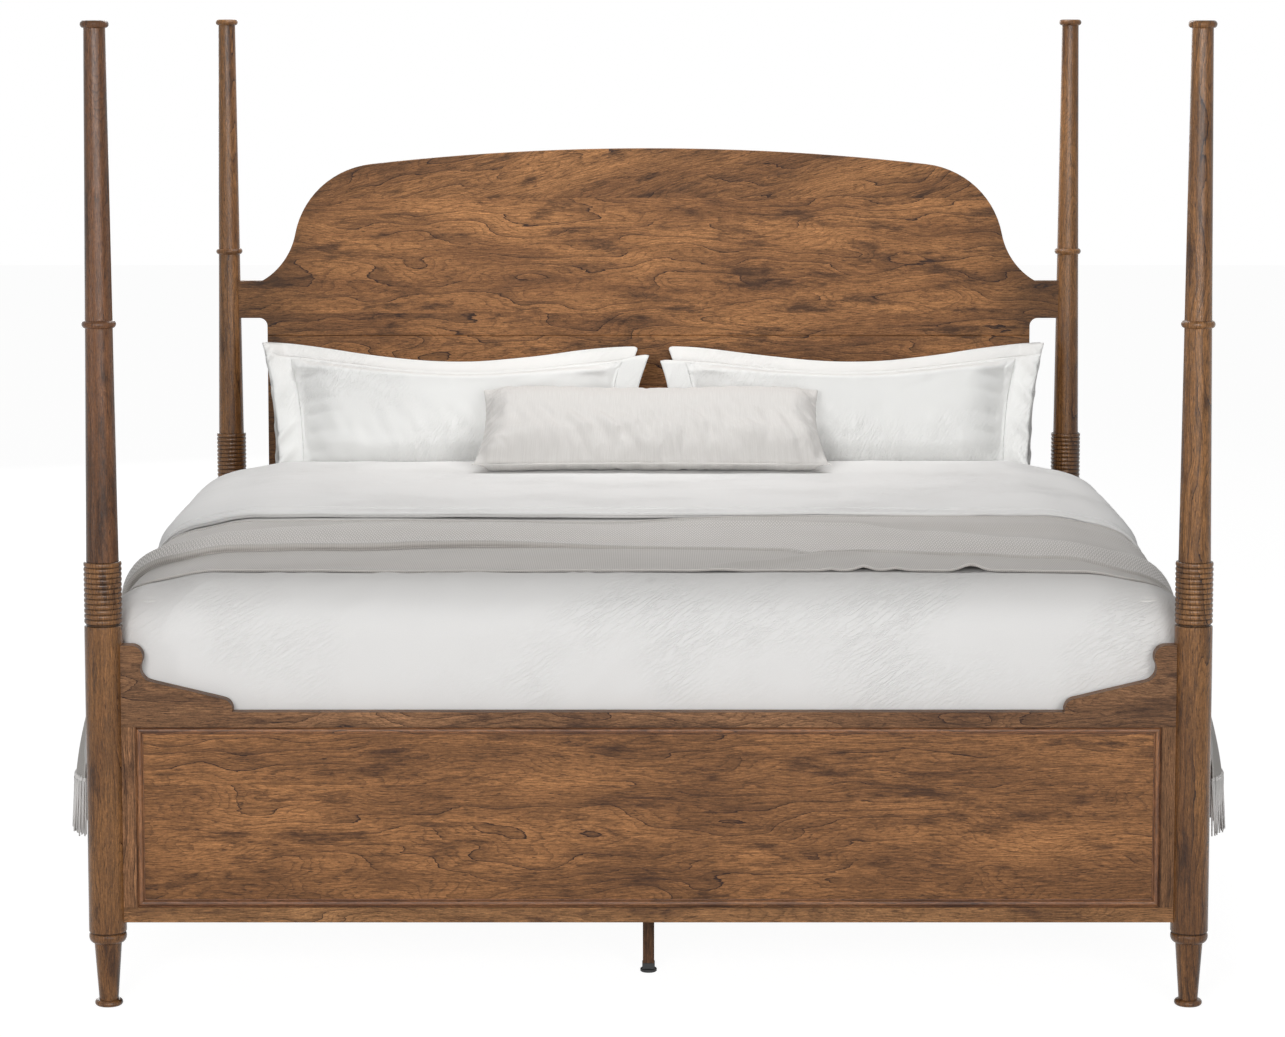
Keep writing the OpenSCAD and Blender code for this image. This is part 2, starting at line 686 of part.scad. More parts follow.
module side_rail(side) color(wood)
    difference() {
        translate([side * post_x - rail_t / 2, -rail_len / 2, rail_z]) cube([rail_t, rail_len, rail_h]);
        rail_ends(side) {
            translate([-plate_w / 2 - wood_gap, rail_end_y - cut, plate_mid_z - plate_h / 2 - wood_gap])
                cube([plate_w + 2 * wood_gap, plate_t + cut, plate_h + 2 * wood_gap]);
            for (z = hook_screw_z)
                translate([0, rail_end_y, z]) rotate([-90, 0, 0]) screw_hole(plate_screw_l);
        }
        for (y = cleat_screw_y)
            translate([side * cleat_inner_x, y, cleat_mid_z]) rotate([0, side * 90, 0])
                screw_hole(cleat_screw_l);
    }

module slat_cleat(side) color(wood)
    difference() {
        translate([side > 0 ? cleat_inner_x : -rail_inner_x, -cleat_l / 2, slat_z - cleat_h])
            cube([cleat_t, cleat_l, cleat_h]);
        for (y = cleat_screw_y)
            translate([side * cleat_inner_x, y, cleat_mid_z]) rotate([0, side * 90, 0])
                screw_hole(cleat_screw_l);
        for (i = [1 : slat_count])
            translate([side * slat_screw_x, slat_y(i), slat_top_z]) mirror([0, 0, 1])
                screw_hole(slat_screw_l);
    }

// Hook in side view: y from the plate's face into the post, z over the hook's seat
hook_points = [
    [cut, 0], [-plate_t - hook_gap, 0], [-plate_t - hook_gap, -hook_drop],
    [-plate_t - hook_gap - hook_t, -hook_drop], [-plate_t - hook_gap - hook_t, hook_neck_h],
    [cut, hook_neck_h]
];
module rail_hook_plates() color("silver")
    for (side = [-1, 1]) rail_ends(side)
        difference() {
            union() {
                translate([-plate_w / 2, rail_end_y, plate_mid_z - plate_h / 2])
                    cube([plate_w, plate_t, plate_h]);
                for (z = hook_z)
                    translate([-hook_w / 2, rail_end_y, z]) rotate([90, 0, 90])
                        linear_extrude(hook_w) polygon(hook_points);
            }
            for (z = hook_screw_z)
                translate([0, rail_end_y, z]) rotate([-90, 0, 0]) screw_hole(plate_screw_l);
        }

module post_slot_plates() color("silver")
    for (side = [-1, 1]) rail_ends(side)
        difference() {
            translate([-plate_w / 2, rail_seat - plate_t, plate_mid_z - slot_plate_h / 2])
                cube([plate_w, plate_t, slot_plate_h]);
            for (z = hook_z)
                translate([-slot_w / 2, rail_seat - plate_t - cut, z - wood_gap])
                    cube([slot_w, plate_t + 2 * cut, slot_h]);
            for (z = slot_screw_z)
                translate([0, rail_seat, z]) rotate([90, 0, 0]) screw_hole(plate_screw_l);
        }

module plate_screws() color("gray")
    for (side = [-1, 1]) rail_ends(side) {
        for (z = hook_screw_z)
            translate([0, rail_end_y, z]) rotate([-90, 0, 0]) screw(plate_screw_l);
        for (z = slot_screw_z)
            translate([0, rail_seat, z]) rotate([90, 0, 0]) screw(plate_screw_l);
    }

module slat(i) color("burlywood")
    difference() {
        translate([-slat_half_l, slat_y(i) - slat_w / 2, slat_z]) cube([2 * slat_half_l, slat_w, slat_t]);
        for (side = [-1, 1])
            translate([side * slat_screw_x, slat_y(i), slat_top_z]) mirror([0, 0, 1])
                screw_hole(slat_screw_l);
        if (len(search(i, leg_slats)) > 0)
            translate([0, slat_y(i), slat_top_z]) mirror([0, 0, 1]) screw_hole(leg_screw_l);
    }

module wood_screws() color("gray") {
    for (side = [-1, 1]) {
        for (y = cleat_screw_y)
            translate([side * cleat_inner_x, y, cleat_mid_z]) rotate([0, side * 90, 0])
                screw(cleat_screw_l);
        for (i = [1 : slat_count])
            translate([side * slat_screw_x, slat_y(i), slat_top_z]) mirror([0, 0, 1])
                screw(slat_screw_l);
    }
    for (i = leg_slats)
        translate([0, slat_y(i), slat_top_z]) mirror([0, 0, 1]) screw(leg_screw_l);
}

module at_leg(n) translate([0, slat_y(leg_slats[n - 1]), 0]) children();

module support_leg(n) color(wood_dark) at_leg(n)
    difference() {
        translate([-leg_w / 2, -leg_w / 2, leg_z]) cube([leg_w, leg_w, slat_z - leg_z]);
        translate([0, 0, leg_z - cut])
            cylinder(r = boss_r + pin_gap, h = boss_h + cut + boss_end_gap);
        translate([0, 0, slat_top_z]) mirror([0, 0, 1]) screw_hole(leg_screw_l);
    }

module leg_end_caps() color("black")
    for (n = [1 : len(leg_slats)]) at_leg(n)
        difference() {
            union() {
                difference() {
                    translate([-cap_w / 2, -cap_w / 2, cap_z]) cube([cap_w, cap_w, ferrule_h]);
                    translate([-leg_w / 2 - pin_gap, -leg_w / 2 - pin_gap, leg_z])
                        cube([leg_w + 2 * pin_gap, leg_w + 2 * pin_gap, ferrule_h]);
                }
                translate([0, 0, cap_z]) cylinder(r = boss_r, h = boss_top - cap_z);
            }
            translate([0, 0, cap_z - cut]) cylinder(r = stem_r + pin_gap, h = boss_top - cap_z + 2 * cut);
        }

module leveler_pad(n) color("black") at_leg(n)
    difference() {
        rotate_extrude()
            polygon([[0, 0], [pad_r - pad_bevel, 0], [pad_r, pad_bevel],
                [pad_r, pad_h - pad_bevel], [pad_r - pad_bevel, pad_h], [0, pad_h]]);
        translate([0, 0, stem_seat]) cylinder(r = stem_r + pin_gap, h = pad_h);
    }

module leveler_stem(n) color("silver") at_leg(n)
    translate([0, 0, stem_seat + pin_gap]) cylinder(r = stem_r, h = stem_top - stem_seat - pin_gap);

// Slab with round corners, seen from above
module slab(x0, x1, y0, y1, z, h)
    translate([0, 0, z]) linear_extrude(h)
        polygon(concat(
            arc(x1 - mattress_corner_r, y1 - mattress_corner_r, mattress_corner_r, 0, 90, 6),
            arc(x0 + mattress_corner_r, y1 - mattress_corner_r, mattress_corner_r, 90, 180, 6),
            arc(x0 + mattress_corner_r, y0 + mattress_corner_r, mattress_corner_r, 180, 270, 6),
            arc(x1 - mattress_corner_r, y0 + mattress_corner_r, mattress_corner_r, 270, 360, 6)
        ));

module box_spring(side) color("whitesmoke")
    mirror([side < 0 ? 1 : 0, 0, 0])
        slab(body_gap, mattress_w / 2, -mattress_l / 2, mattress_l / 2, slat_top_z, box_spring_h);

module mattress() color("whitesmoke")
    slab(-mattress_w / 2, mattress_w / 2, -mattress_l / 2, mattress_l / 2, mattress_z, mattress_h);

// Closed skin over two point grids of the same size, the outer one and the inner one.
// A grid is a list of rows, and a row is a list of points.
function cell(a, b, c, d) = [[a, b, c], [a, c, d]];
module skin(outer, inner) {
    rows = len(outer);
    cols = len(outer[0]);
    n = rows * cols;
    points = concat([for (row = outer) each row], [for (row = inner) each row]);
    faces = concat(
        [for (r = [0 : rows - 2]) for (c = [0 : cols - 2])
            each cell(r * cols + c, r * cols + c + 1, (r + 1) * cols + c + 1, (r + 1) * cols + c)],
        [for (r = [0 : rows - 2]) for (c = [0 : cols - 2])
            each cell(n + (r + 1) * cols + c, n + (r + 1) * cols + c + 1, n + r * cols + c + 1, n + r * cols + c)],
        [for (c = [0 : cols - 2]) each cell(c + 1, c, n + c, n + c + 1)],
        [for (c = [0 : cols - 2])
            each cell((rows - 1) * cols + c, (rows - 1) * cols + c + 1,
                n + (rows - 1) * cols + c + 1, n + (rows - 1) * cols + c)],
        [for (r = [0 : rows - 2]) each cell(r * cols, (r + 1) * cols, n + (r + 1) * cols, n + r * cols)],
        [for (r = [0 : rows - 2])
            each cell((r + 1) * cols + cols - 1, r * cols + cols - 1,
                n + r * cols + cols - 1, n + (r + 1) * cols + cols - 1)]
    );
    polyhedron(points, faces);
}

// A station of a cover is [k, a, f]: k is -1 or 1 on a fall and 0 on the top. On a fall, a is the angle
// round the edge and f the share of the straight drop below it. On the top, a is the share of the width.
edge_angles = [22.5, 45, 67.5, 90];
drop_shares = [1 / 3, 2 / 3, 1];
function share(s) = s[0] == 0 ? 0 : s[1] / 90 + 2 * s[2];
right_fall = concat([for (a = edge_angles) [1, a, 0]], [for (f = drop_shares) [1, 90, f]]);
function turned(list) = [for (i = [len(list) - 1 : -1 : 0]) [-list[i][0], list[i][1], list[i][2]]];
top_stations = [for (i = [-4 : 4]) [0, i / 4, 0]];

// A cover's shape is [half width, foot edge y, side radius, foot radius, top z, side drop, foot drop]
outer_duvet = [duvet_edge_x, duvet_edge_y, duvet_side_r, duvet_foot_r, duvet_z, side_depth, foot_depth];
folded_duvet = [duvet_edge_x, duvet_edge_y, duvet_side_r + fold_t, duvet_foot_r + fold_t, duvet_z + fold_t,
    side_depth + fold_t, foot_depth + fold_t];
duvet_in_r = duvet_edge_x + duvet_side_r - duvet_t - mattress_w / 2;
duvet_in_foot_r = 4;
duvet_in_z = bed_z + body_gap;
inner_duvet = [mattress_w / 2, -mattress_l / 2, duvet_in_r, duvet_in_foot_r,
    duvet_in_z, duvet_in_z - side_hem_z, duvet_in_z - foot_hem_z];

function flare(f) = side_flare * sin(90 * f);
// The flare dies away where the corner has turned this far, so that the post stays clear
post_turn = 45;
function crown(share_x) = duvet_crown * (1 - share_x * share_x);
// Wave of the hanging sides beside the fold, in and out along the bed
wave_out = 7;
wave_l = 260;
function side_wave(y, f) = y > fold_y ? wave_out * f * sin(360 * y / wave_l) : 0;

// Point of a cover at station s across the bed, at y on the top, or on the foot fall at station q
function side_point(shape, s, y) =
    s[0] == 0
        ? [s[1] * shape[0], y, shape[4] + (shape[4] >= duvet_z ? crown(s[1]) : 0)]
        : [s[0] * (shape[0] + shape[2] * sin(s[1]) + flare(s[2]) + side_wave(y, s[2])), y,
            shape[4] - shape[2] * (1 - cos(s[1])) - s[2] * (shape[5] - shape[2])];
function corner_point(shape, s, q) =
    let (
        turn = 90 * share(q) / (share(q) + share(s)),
        lead = share(q) > share(s) ? q : s,
        r = shape[2] + (shape[3] - shape[2]) * turn / 90,
        depth = shape[5] + (shape[6] - shape[5]) * turn / 90,
        out = r * sin(lead[1]) + flare(lead[2]) * max(0, 1 - turn / post_turn),
        x = s[0] == 0 ? s[1] : s[0]
    )
    [x * shape[0] + (s[0] == 0 ? 0 : s[0] * out * cos(turn)), shape[1] - out * sin(turn),
        shape[4] - r * (1 - cos(lead[1])) - lead[2] * (depth - r)
            + (s[0] == 0 && shape[4] >= duvet_z ? crown(s[1]) * (1 - lead[1] / 90) : 0)];

duvet_cols = concat(turned(right_fall), top_stations, right_fall);
fold_rows = 5;
plain_rows = 7;
fold_step = 10;
duvet_rows = concat(
    [for (i = [0 : fold_rows]) duvet_head_y + (fold_y + fold_step - duvet_head_y) * i / fold_rows],
    [for (i = [0 : plain_rows]) fold_y + (duvet_edge_y - fold_y) * i / plain_rows]
);
foot_fall = concat([for (a = edge_angles) [1, a, 0]], [[1, 90, 0.5], [1, 90, 1]]);
module duvet() color(linen)
    skin(
        concat(
            [for (y = duvet_rows) [for (s = duvet_cols) side_point(y > fold_y ? folded_duvet : outer_duvet, s, y)]],
            [for (q = foot_fall) [for (s = duvet_cols) corner_point(outer_duvet, s, q)]]
        ),
        concat(
            [for (y = duvet_rows) [for (s = duvet_cols) side_point(inner_duvet, s, y)]],
            [for (q = foot_fall) [for (s = duvet_cols) corner_point(inner_duvet, s, q)]]
        )
    );

// The throw lies on the duvet and hangs past its hems
function cover(lift) = [duvet_edge_x, duvet_edge_y, duvet_side_r + lift, duvet_foot_r + lift,
    duvet_z + lift, side_depth + lift, foot_depth + lift];
throw_rows = 12;
tail_shares = [0.45, 1];
tail_drop = side_hem_z - throw_end_z;
fold_wave = 8;
function throw_wave(y, f) = fold_wave * f * (1 + sin(360 * (y - throw_y0) / (throw_w / 3))) / 2;
function throw_point(lift, s, y) =
    let (tail = s[2] > 1 ? s[2] - 1 : 0, p = side_point(cover(lift), [s[0], s[1], min(1, s[2])], y))
    [p[0] + s[0] * (throw_wave(y, min(1, s[2])) + tail * throw_flare), p[1], p[2] - tail * tail_drop];
throw_fall = concat(right_fall, [for (t = tail_shares) [1, 90, 1 + t]]);
throw_cols = concat(turned(throw_fall), top_stations, throw_fall);
module throw() color("lightgray")
    skin(
        [for (i = [throw_rows : -1 : 0]) let (y = throw_y0 + throw_w * i / throw_rows)
            [for (s = throw_cols) throw_point(body_gap + throw_t, s, y)]],
        [for (i = [throw_rows : -1 : 0]) let (y = throw_y0 + throw_w * i / throw_rows)
            [for (s = throw_cols) throw_point(body_gap, s, y)]]
    );

// Pillow of width w, height h and thickness t with a flange, standing on its lower edge
flange_half_t = 2.5;
swell_power = 2.4;
side_pull = 0.025;
top_pull = 0.1;
function swell(k) = sqrt(max(0, 1 - pow(abs(k), swell_power)));
function stations(n, inner) = concat(
    inner < 1 ? [-1] : [],
    [for (k = [-n : n]) inner * sin(90 * k / n)],
    inner < 1 ? [1] : []
);
function pillow_point(u, v, w, h, t, inner_u, inner_v, face) = [
    u * w / 2 * (1 - side_pull * (1 - v * v)),
    face * max(flange_half_t, t / 2 * swell(min(1, abs(u) / inner_u)) * swell(min(1, abs(v) / inner_v))),
    v * h / 2 * (1 - top_pull * (1 - u * u))
];
module pillow(w, h, t, flange) {
    inner_u = 1 - 2 * flange / w;
    inner_v = 1 - 2 * flange / h;
    us = stations(6, inner_u);
    vs = stations(4, inner_v);
    skin(
        [for (v = vs) [for (u = us) pillow_point(u, v, w, h, t, inner_u, inner_v, -1)]],
        [for (v = vs) [for (u = us) pillow_point(u, v, w, h, t, inner_u, inner_v, 1)]]
    );
}
// Leans a pillow back and sets its lower edge at y and z
module leaning(x, y, z, h, lean)
    translate([x, y + h / 2 * cos(lean), z + h / 2 * sin(lean)])
        rotate([lean - 90, 0, 0])
            children();

module bed_pillow(side, step, shift) color(linen)
    leaning(side * (pillow_mid_x + shift) + pillow_offset, pillow_y + step,
            pillow_rest_z, pillow_h, pillow_lean)
        pillow(pillow_w, pillow_h, pillow_t, flange_w);

module lumbar_pillow() color("gainsboro")
    leaning(pillow_offset / 2, pillow_y - lumbar_front, lumbar_rest_z, lumbar_h, lumbar_lean)
        pillow(lumbar_w, lumbar_h, lumbar_t, 0);

post_foot(-1, -1);  // post_foot_front_left
post_foot(1, -1);  // post_foot_front_right
post_foot(-1, 1);  // post_foot_rear_left
post_foot(1, 1);  // post_foot_rear_right
post_lower(-1, -1);  // post_lower_front_left
post_lower(1, -1);  // post_lower_front_right
post_lower(-1, 1);  // post_lower_rear_left
post_lower(1, 1);  // post_lower_rear_right
post_upper(-1, -1);  // post_upper_front_left
post_upper(1, -1);  // post_upper_front_right
post_upper(-1, 1);  // post_upper_rear_left
post_upper(1, 1);  // post_upper_rear_right
foot_glides();
post_studs();
footboard_top_rail();
footboard_bottom_rail();
footboard_stile(-1);  // footboard_stile_left
footboard_stile(1);  // footboard_stile_right
footboard_panel();
footboard_moulding_top();
footboard_moulding_bottom();
footboard_moulding_side(-1);  // footboard_moulding_left
footboard_moulding_side(1);  // footboard_moulding_right
headboard_upper_board();
headboard_lower_board();
headboard_bottom_rail();
side_rail(-1);  // side_rail_left
side_rail(1);  // side_rail_right
slat_cleat(-1);  // slat_cleat_left
slat_cleat(1);  // slat_cleat_right
rail_hook_plates();
post_slot_plates();
plate_screws();
slat(1);  // slat_1
slat(2);  // slat_2
slat(3);  // slat_3
slat(4);  // slat_4
slat(5);  // slat_5
wood_screws();
support_leg(1);  // support_leg_1
support_leg(2);  // support_leg_2
support_leg(3);  // support_leg_3
leg_end_caps();
leveler_pad(1);  // leveler_pad_1
leveler_pad(2);  // leveler_pad_2
leveler_pad(3);  // leveler_pad_3
leveler_stem(1);  // leveler_stem_1
leveler_stem(2);  // leveler_stem_2
leveler_stem(3);  // leveler_stem_3
box_spring(-1);  // box_spring_left
box_spring(1);  // box_spring_right
mattress();
duvet();
throw();
bed_pillow(-1, 0, 0);  // pillow_front_left
bed_pillow(1, 0, 0);  // pillow_front_right
bed_pillow(-1, pillow_step_y, back_shift);  // pillow_back_left
bed_pillow(1, pillow_step_y, back_shift);  // pillow_back_right
lumbar_pillow();
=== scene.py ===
# %% [markdown]
# # A made-up panel bed with four turned posts
# The CAD model gives every wooden and metal piece its shape and place. This lesson gives those pieces
# their finishes, and makes the soft pieces anew: mattress, box springs, duvet, throw and pillows.
# Everything is in metres, with the floor at z = 0 and the foot of the bed towards -Y.

# %% [markdown]
# ## Load the frame
# The imported CAD model comes in as a fixed frame, one object per node, with its place written into its
# mesh.

# %% Frame
import math
import random

import bmesh
import bpy
from mathutils import Matrix, Vector, noise


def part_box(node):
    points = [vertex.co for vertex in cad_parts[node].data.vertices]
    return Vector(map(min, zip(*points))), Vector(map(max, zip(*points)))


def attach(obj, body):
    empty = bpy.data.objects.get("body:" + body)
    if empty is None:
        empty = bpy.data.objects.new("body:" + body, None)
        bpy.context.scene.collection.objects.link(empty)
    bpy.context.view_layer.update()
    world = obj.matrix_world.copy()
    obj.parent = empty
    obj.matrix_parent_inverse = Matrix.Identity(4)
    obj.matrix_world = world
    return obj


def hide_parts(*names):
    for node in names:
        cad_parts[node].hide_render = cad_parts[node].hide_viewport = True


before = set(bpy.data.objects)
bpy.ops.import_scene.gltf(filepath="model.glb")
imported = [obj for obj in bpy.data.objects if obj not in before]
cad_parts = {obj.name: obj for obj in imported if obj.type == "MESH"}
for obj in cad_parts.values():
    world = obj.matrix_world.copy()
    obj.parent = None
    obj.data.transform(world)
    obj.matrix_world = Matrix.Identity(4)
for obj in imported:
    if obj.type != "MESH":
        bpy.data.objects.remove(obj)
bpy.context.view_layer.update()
scene = bpy.context.scene

# %% [markdown]
# ## The camera
# The photograph was taken from the foot of the bed at about eye height, with a long lens.
# Its posts stand almost parallel, so a small lens shift does part of the tilt.

# %% Camera
picture_w, picture_h = 1285, 1037
eye = Vector((0.0, -7.950, 1.836))
tilt_down = math.radians(6.05)

camera_data = bpy.data.cameras.new("camera")
camera_data.lens = 105.4
camera_data.sensor_width = 36.0
camera_data.shift_x = -0.0047
camera_data.shift_y = -0.08
camera_data.clip_end = 100.0
camera = bpy.data.objects.new("camera", camera_data)
scene.collection.objects.link(camera)
camera.location = eye
camera.rotation_euler = (math.radians(90) - tilt_down, 0.0, 0.0)
scene.camera = camera
print("camera", tuple(eye), "lens", camera_data.lens, "picture", picture_w, picture_h)

# %% [markdown]
# ## Helpers for materials
# A finish is a small tree of nodes. One function adds a node with its settings and links, and one turns
# a colour as a designer writes it, in sRGB hex, into the linear numbers that the shader wants.


# %% Material helpers
def linear(hex_colour):
    """An sRGB colour such as 8e6341 as linear red, green, blue and alpha."""
    parts = [int(hex_colour[i:i + 2], 16) / 255 for i in (0, 2, 4)]
    return [c / 12.92 if c <= 0.04045 else ((c + 0.055) / 1.055) ** 2.4 for c in parts] + [1.0]


def add(tree, kind, inputs=None, **settings):
    """Adds a node to a tree. An input is a value, a socket, or a node, whose first output is then used."""
    made = tree.nodes.new("ShaderNode" + kind)
    for name, value in settings.items():
        setattr(made, name, value)
    for key, value in (inputs or {}).items():
        if isinstance(value, bpy.types.Node):
            value = next(socket for socket in value.outputs if socket.enabled)
        if isinstance(value, bpy.types.NodeSocket):
            tree.links.new(value, made.inputs[key])
        else:
            made.inputs[key].default_value = value
    return made


def new_material(name):
    """An empty material with a shader that is joined to its output. Returns material, tree and shader."""
    material = bpy.data.materials.new(name)
    material.use_nodes = True
    tree = material.node_tree
    tree.nodes.clear()
    shader = add(tree, "BsdfPrincipled")
    add(tree, "OutputMaterial", {"Surface": shader})
    return material, tree, shader


def dress(tree, shader, **sockets):
    """Joins nodes to the shader. Base_Color is the socket Base Color."""
    for name, source in sockets.items():
        output = next(socket for socket in source.outputs if socket.enabled)
        tree.links.new(output, shader.inputs[name.replace("_", " ")])


def stretched_noise(tree, vector, along_mm, across_mm, detail=3.0, roughness=0.5):
    """Noise whose features are about along_mm long in X and across_mm wide in Y and Z."""
    size = add(tree, "VectorMath", {0: vector, 1: (1000 / along_mm, 1000 / across_mm, 1000 / across_mm)},
               operation="MULTIPLY")
    return add(tree, "TexNoise", {"Vector": size, "Scale": 1.0, "Detail": detail, "Roughness": roughness})


# %% [markdown]
# ## Stage
# The photograph has a plain white ground. The floor and the sky turn white only for rays from the camera
# and for mirror rays, so the bed itself is lit at a plain level. The floor keeps a soft shadow.

# %% Floor and sky
sky_strength = 0.15
floor_shadow = 0.22
floor_white = 0.94
floor_bounce = "d8d8d8"
floor_size = 20.0
scene.view_settings.view_transform = "Standard"


def white_for_the_eye(tree):
    """1 for camera, glossy and transmission rays, and 0 for the rays that light the bed."""
    path = add(tree, "LightPath")
    first = add(tree, "Math", {0: path.outputs["Is Camera Ray"], 1: path.outputs["Is Glossy Ray"]},
                operation="MAXIMUM")
    return add(tree, "Math", {0: first.outputs[0], 1: path.outputs["Is Transmission Ray"]},
               operation="MAXIMUM").outputs[0]


world = bpy.data.worlds.new("plain_sky")
world.use_nodes = True
sky = world.node_tree
sky.nodes.clear()
lighting = add(sky, "Background", {"Color": [1, 1, 1, 1], "Strength": sky_strength})
seen = add(sky, "Background", {"Color": [1, 1, 1, 1], "Strength": 1.0})
sky_mix = add(sky, "MixShader", {0: white_for_the_eye(sky), 1: lighting.outputs[0], 2: seen.outputs[0]})
add(sky, "OutputWorld", {"Surface": sky_mix.outputs[0]})
scene.world = world

floor_finish = bpy.data.materials.new("matt_white_floor_paint")
floor_finish.use_nodes = True
tree = floor_finish.node_tree
tree.nodes.clear()
bounce = add(tree, "BsdfDiffuse", {"Color": linear(floor_bounce)})
shadow_part = add(tree, "BsdfDiffuse", {"Color": [floor_shadow, floor_shadow, floor_shadow, 1]})
white_part = add(tree, "Emission", {"Color": [1, 1, 1, 1], "Strength": floor_white})
shown = add(tree, "AddShader", {0: shadow_part.outputs[0], 1: white_part.outputs[0]})
floor_mix = add(tree, "MixShader", {0: white_for_the_eye(tree), 1: bounce.outputs[0], 2: shown.outputs[0]})
add(tree, "OutputMaterial", {"Surface": floor_mix.outputs[0]})

mesh = bmesh.new()
bmesh.ops.create_grid(mesh, x_segments=1, y_segments=1, size=floor_size)
floor_mesh = bpy.data.meshes.new("floor")
mesh.to_mesh(floor_mesh)
mesh.free()
floor = bpy.data.objects.new("floor", floor_mesh)
scene.collection.objects.link(floor)
floor_mesh.materials.append(floor_finish)
print("floor", floor.dimensions[:])

# %% [markdown]
# ## Lamps
# Two soft boxes stand in front of the bed, one on each side of the camera. They leave the flanks of the
# pillows and the edges of the round posts darker, as in the photograph. One more hangs over the pillows,
# and one behind the bed lights its back. A narrow strip far to the left draws the light line down the left
# of each post.


# %% Lamps
def soft_box(name, place, aim, size, power):
    """An area lamp, with a size across and a size up, at a place and turned towards a point."""
    data = bpy.data.lights.new(name, "AREA")
    data.shape = "RECTANGLE"
    data.size, data.size_y = size
    data.energy = power
    lamp = bpy.data.objects.new(name, data)
    scene.collection.objects.link(lamp)
    lamp.location = place
    lamp.visible_camera = False
    lamp.rotation_euler = (Vector(aim) - Vector(place)).to_track_quat("-Z", "Y").to_euler()
    return lamp


bed_front = (0, -0.2, 0.7)
soft_box("key_soft_box", place=(-1.5, -7.7, 2.4), aim=bed_front, size=(2.0, 2.0), power=205)
soft_box("fill_soft_box", place=(2.2, -7.6, 1.9), aim=bed_front, size=(2.4, 2.4), power=156)
soft_box("top_soft_box", place=(0.0, 0.75, 2.9), aim=(0, 0.5, 0.8), size=(2.0, 0.7), power=38)
soft_box("back_soft_box", place=(-2.4, 7.0, 2.2), aim=(0, 1.1, 0.8), size=(2.4, 2.0), power=60)
soft_box("left_strip", place=(-6.0, -4.6, 1.3), aim=(-1.0, -1.1, 0.9), size=(0.12, 2.6), power=34)

# %% [markdown]
# ## Stained cherry
# The bed is solid wood with a warm brown stain under a satin lacquer. The eye sees slow drifts of tone,
# dark clouds where the stain sank in, thin wavy growth lines that fade on one side, and short fine fibres.
# Each is one noise, stretched along the grain, and the growth lines are the contour lines of another.
# Wide panels are glued up from boards, so the pattern starts anew at each joint. The grooves of the turned
# rings are darker, partly from stain that pools there and partly as painted shade.

# %% Grain
grain_turns = {"x": (0.0, 0.0, 0.0), "y": (0.0, 0.0, math.radians(-90)), "z": (0.0, math.radians(90), 0.0)}
growth_line_colour = "2f1c13"
pore_colour = "2c1a10"
# From one glued board to the next, the pattern is read this much further on.
board_shift_x, board_shift_y = 5.3, 2.1
# Towards the bed's sides a long board may turn darker, between these distances from the middle.
arm_from_x, arm_to_x = 0.72, 0.95
edge_r = 0.0012
groove_depth = 0.0024


def glued_boards(tree, on_bed, turned, joints):
    """Starts the pattern anew above each joint: a height, a brightness and a slant of the grain."""
    parts = add(tree, "SeparateXYZ", {"Vector": on_bed})
    shade = 1.0
    for height, brightness, slant in joints:
        above = add(tree, "Math", {0: parts.outputs["Z"], 1: height}, operation="GREATER_THAN")
        fall = add(tree, "Math", {0: parts.outputs["X"], 1: -slant}, operation="MULTIPLY")
        offset = add(tree, "CombineXYZ", {"X": board_shift_x, "Y": board_shift_y, "Z": fall})
        shift = add(tree, "VectorMath", {0: offset, "Scale": above}, operation="SCALE")
        turned = add(tree, "VectorMath", {0: turned, 1: shift}, operation="ADD")
        step = add(tree, "MapRange", {"Value": above, "To Min": 1.0, "To Max": brightness})
        shade = add(tree, "Math", {0: step, 1: shade}, operation="MULTIPLY")
    return turned, shade


def growth_lines(tree, turned, ring_mm, drift):
    """Dark contour lines over the board, from 0 to 1. Bold ones are ring_mm apart, faint ones a quarter."""
    parts = add(tree, "SeparateXYZ", {"Vector": turned})
    across = add(tree, "Math", {0: parts.outputs["Y"], 1: 0.45, 2: parts.outputs["Z"]},
                 operation="MULTIPLY_ADD")
    bends = stretched_noise(tree, turned, 420, 120, 2.0)
    ripples = stretched_noise(tree, turned, 160, 26, 4.0, 0.60)
    slow = add(tree, "Math", {0: bends, 1: 0.30 * drift, 2: across}, operation="MULTIPLY_ADD")
    level = add(tree, "Math", {0: ripples, 1: 0.026 * drift, 2: slow}, operation="MULTIPLY_ADD")

    def lines(apart_mm, width, strength, fade):
        counted = add(tree, "Math", {0: level, 1: 1000 / apart_mm}, operation="MULTIPLY")
        step = add(tree, "Math", {0: counted}, operation="FRACT")
        thin = add(tree, "MapRange", {"Value": step, "From Max": width, "To Min": strength, "To Max": 0.0})
        soft = add(tree, "MapRange", {"Value": step, "From Max": 0.5, "To Min": fade, "To Max": 0.0},
                   interpolation_type="SMOOTHSTEP")
        return add(tree, "Math", {0: thin, 1: soft}, operation="ADD")

    patches = stretched_noise(tree, turned, 480, 80)
    clear = add(tree, "MapRange", {"Value": patches, "From Min": 0.42, "From Max": 0.56, "To Min": 0.05},
                interpolation_type="SMOOTHSTEP")
    bold = add(tree, "Math", {0: lines(ring_mm, 0.055, 0.85, 0.46), 1: clear}, operation="MULTIPLY")
    return add(tree, "Math", {0: lines(ring_mm / 4, 0.20, 0.26, 0.24), 1: bold}, operation="MAXIMUM")


def streaks(tree, vector, along_mm, across_mm, low, high, detail=4.0, roughness=0.72):
    """Noise along the grain as a factor of brightness from low to high."""
    noise_node = stretched_noise(tree, vector, along_mm, across_mm, detail, roughness)
    return add(tree, "MapRange", {"Value": noise_node, "From Min": 0.3, "From Max": 0.7, "To Min": low,
                                  "To Max": high})


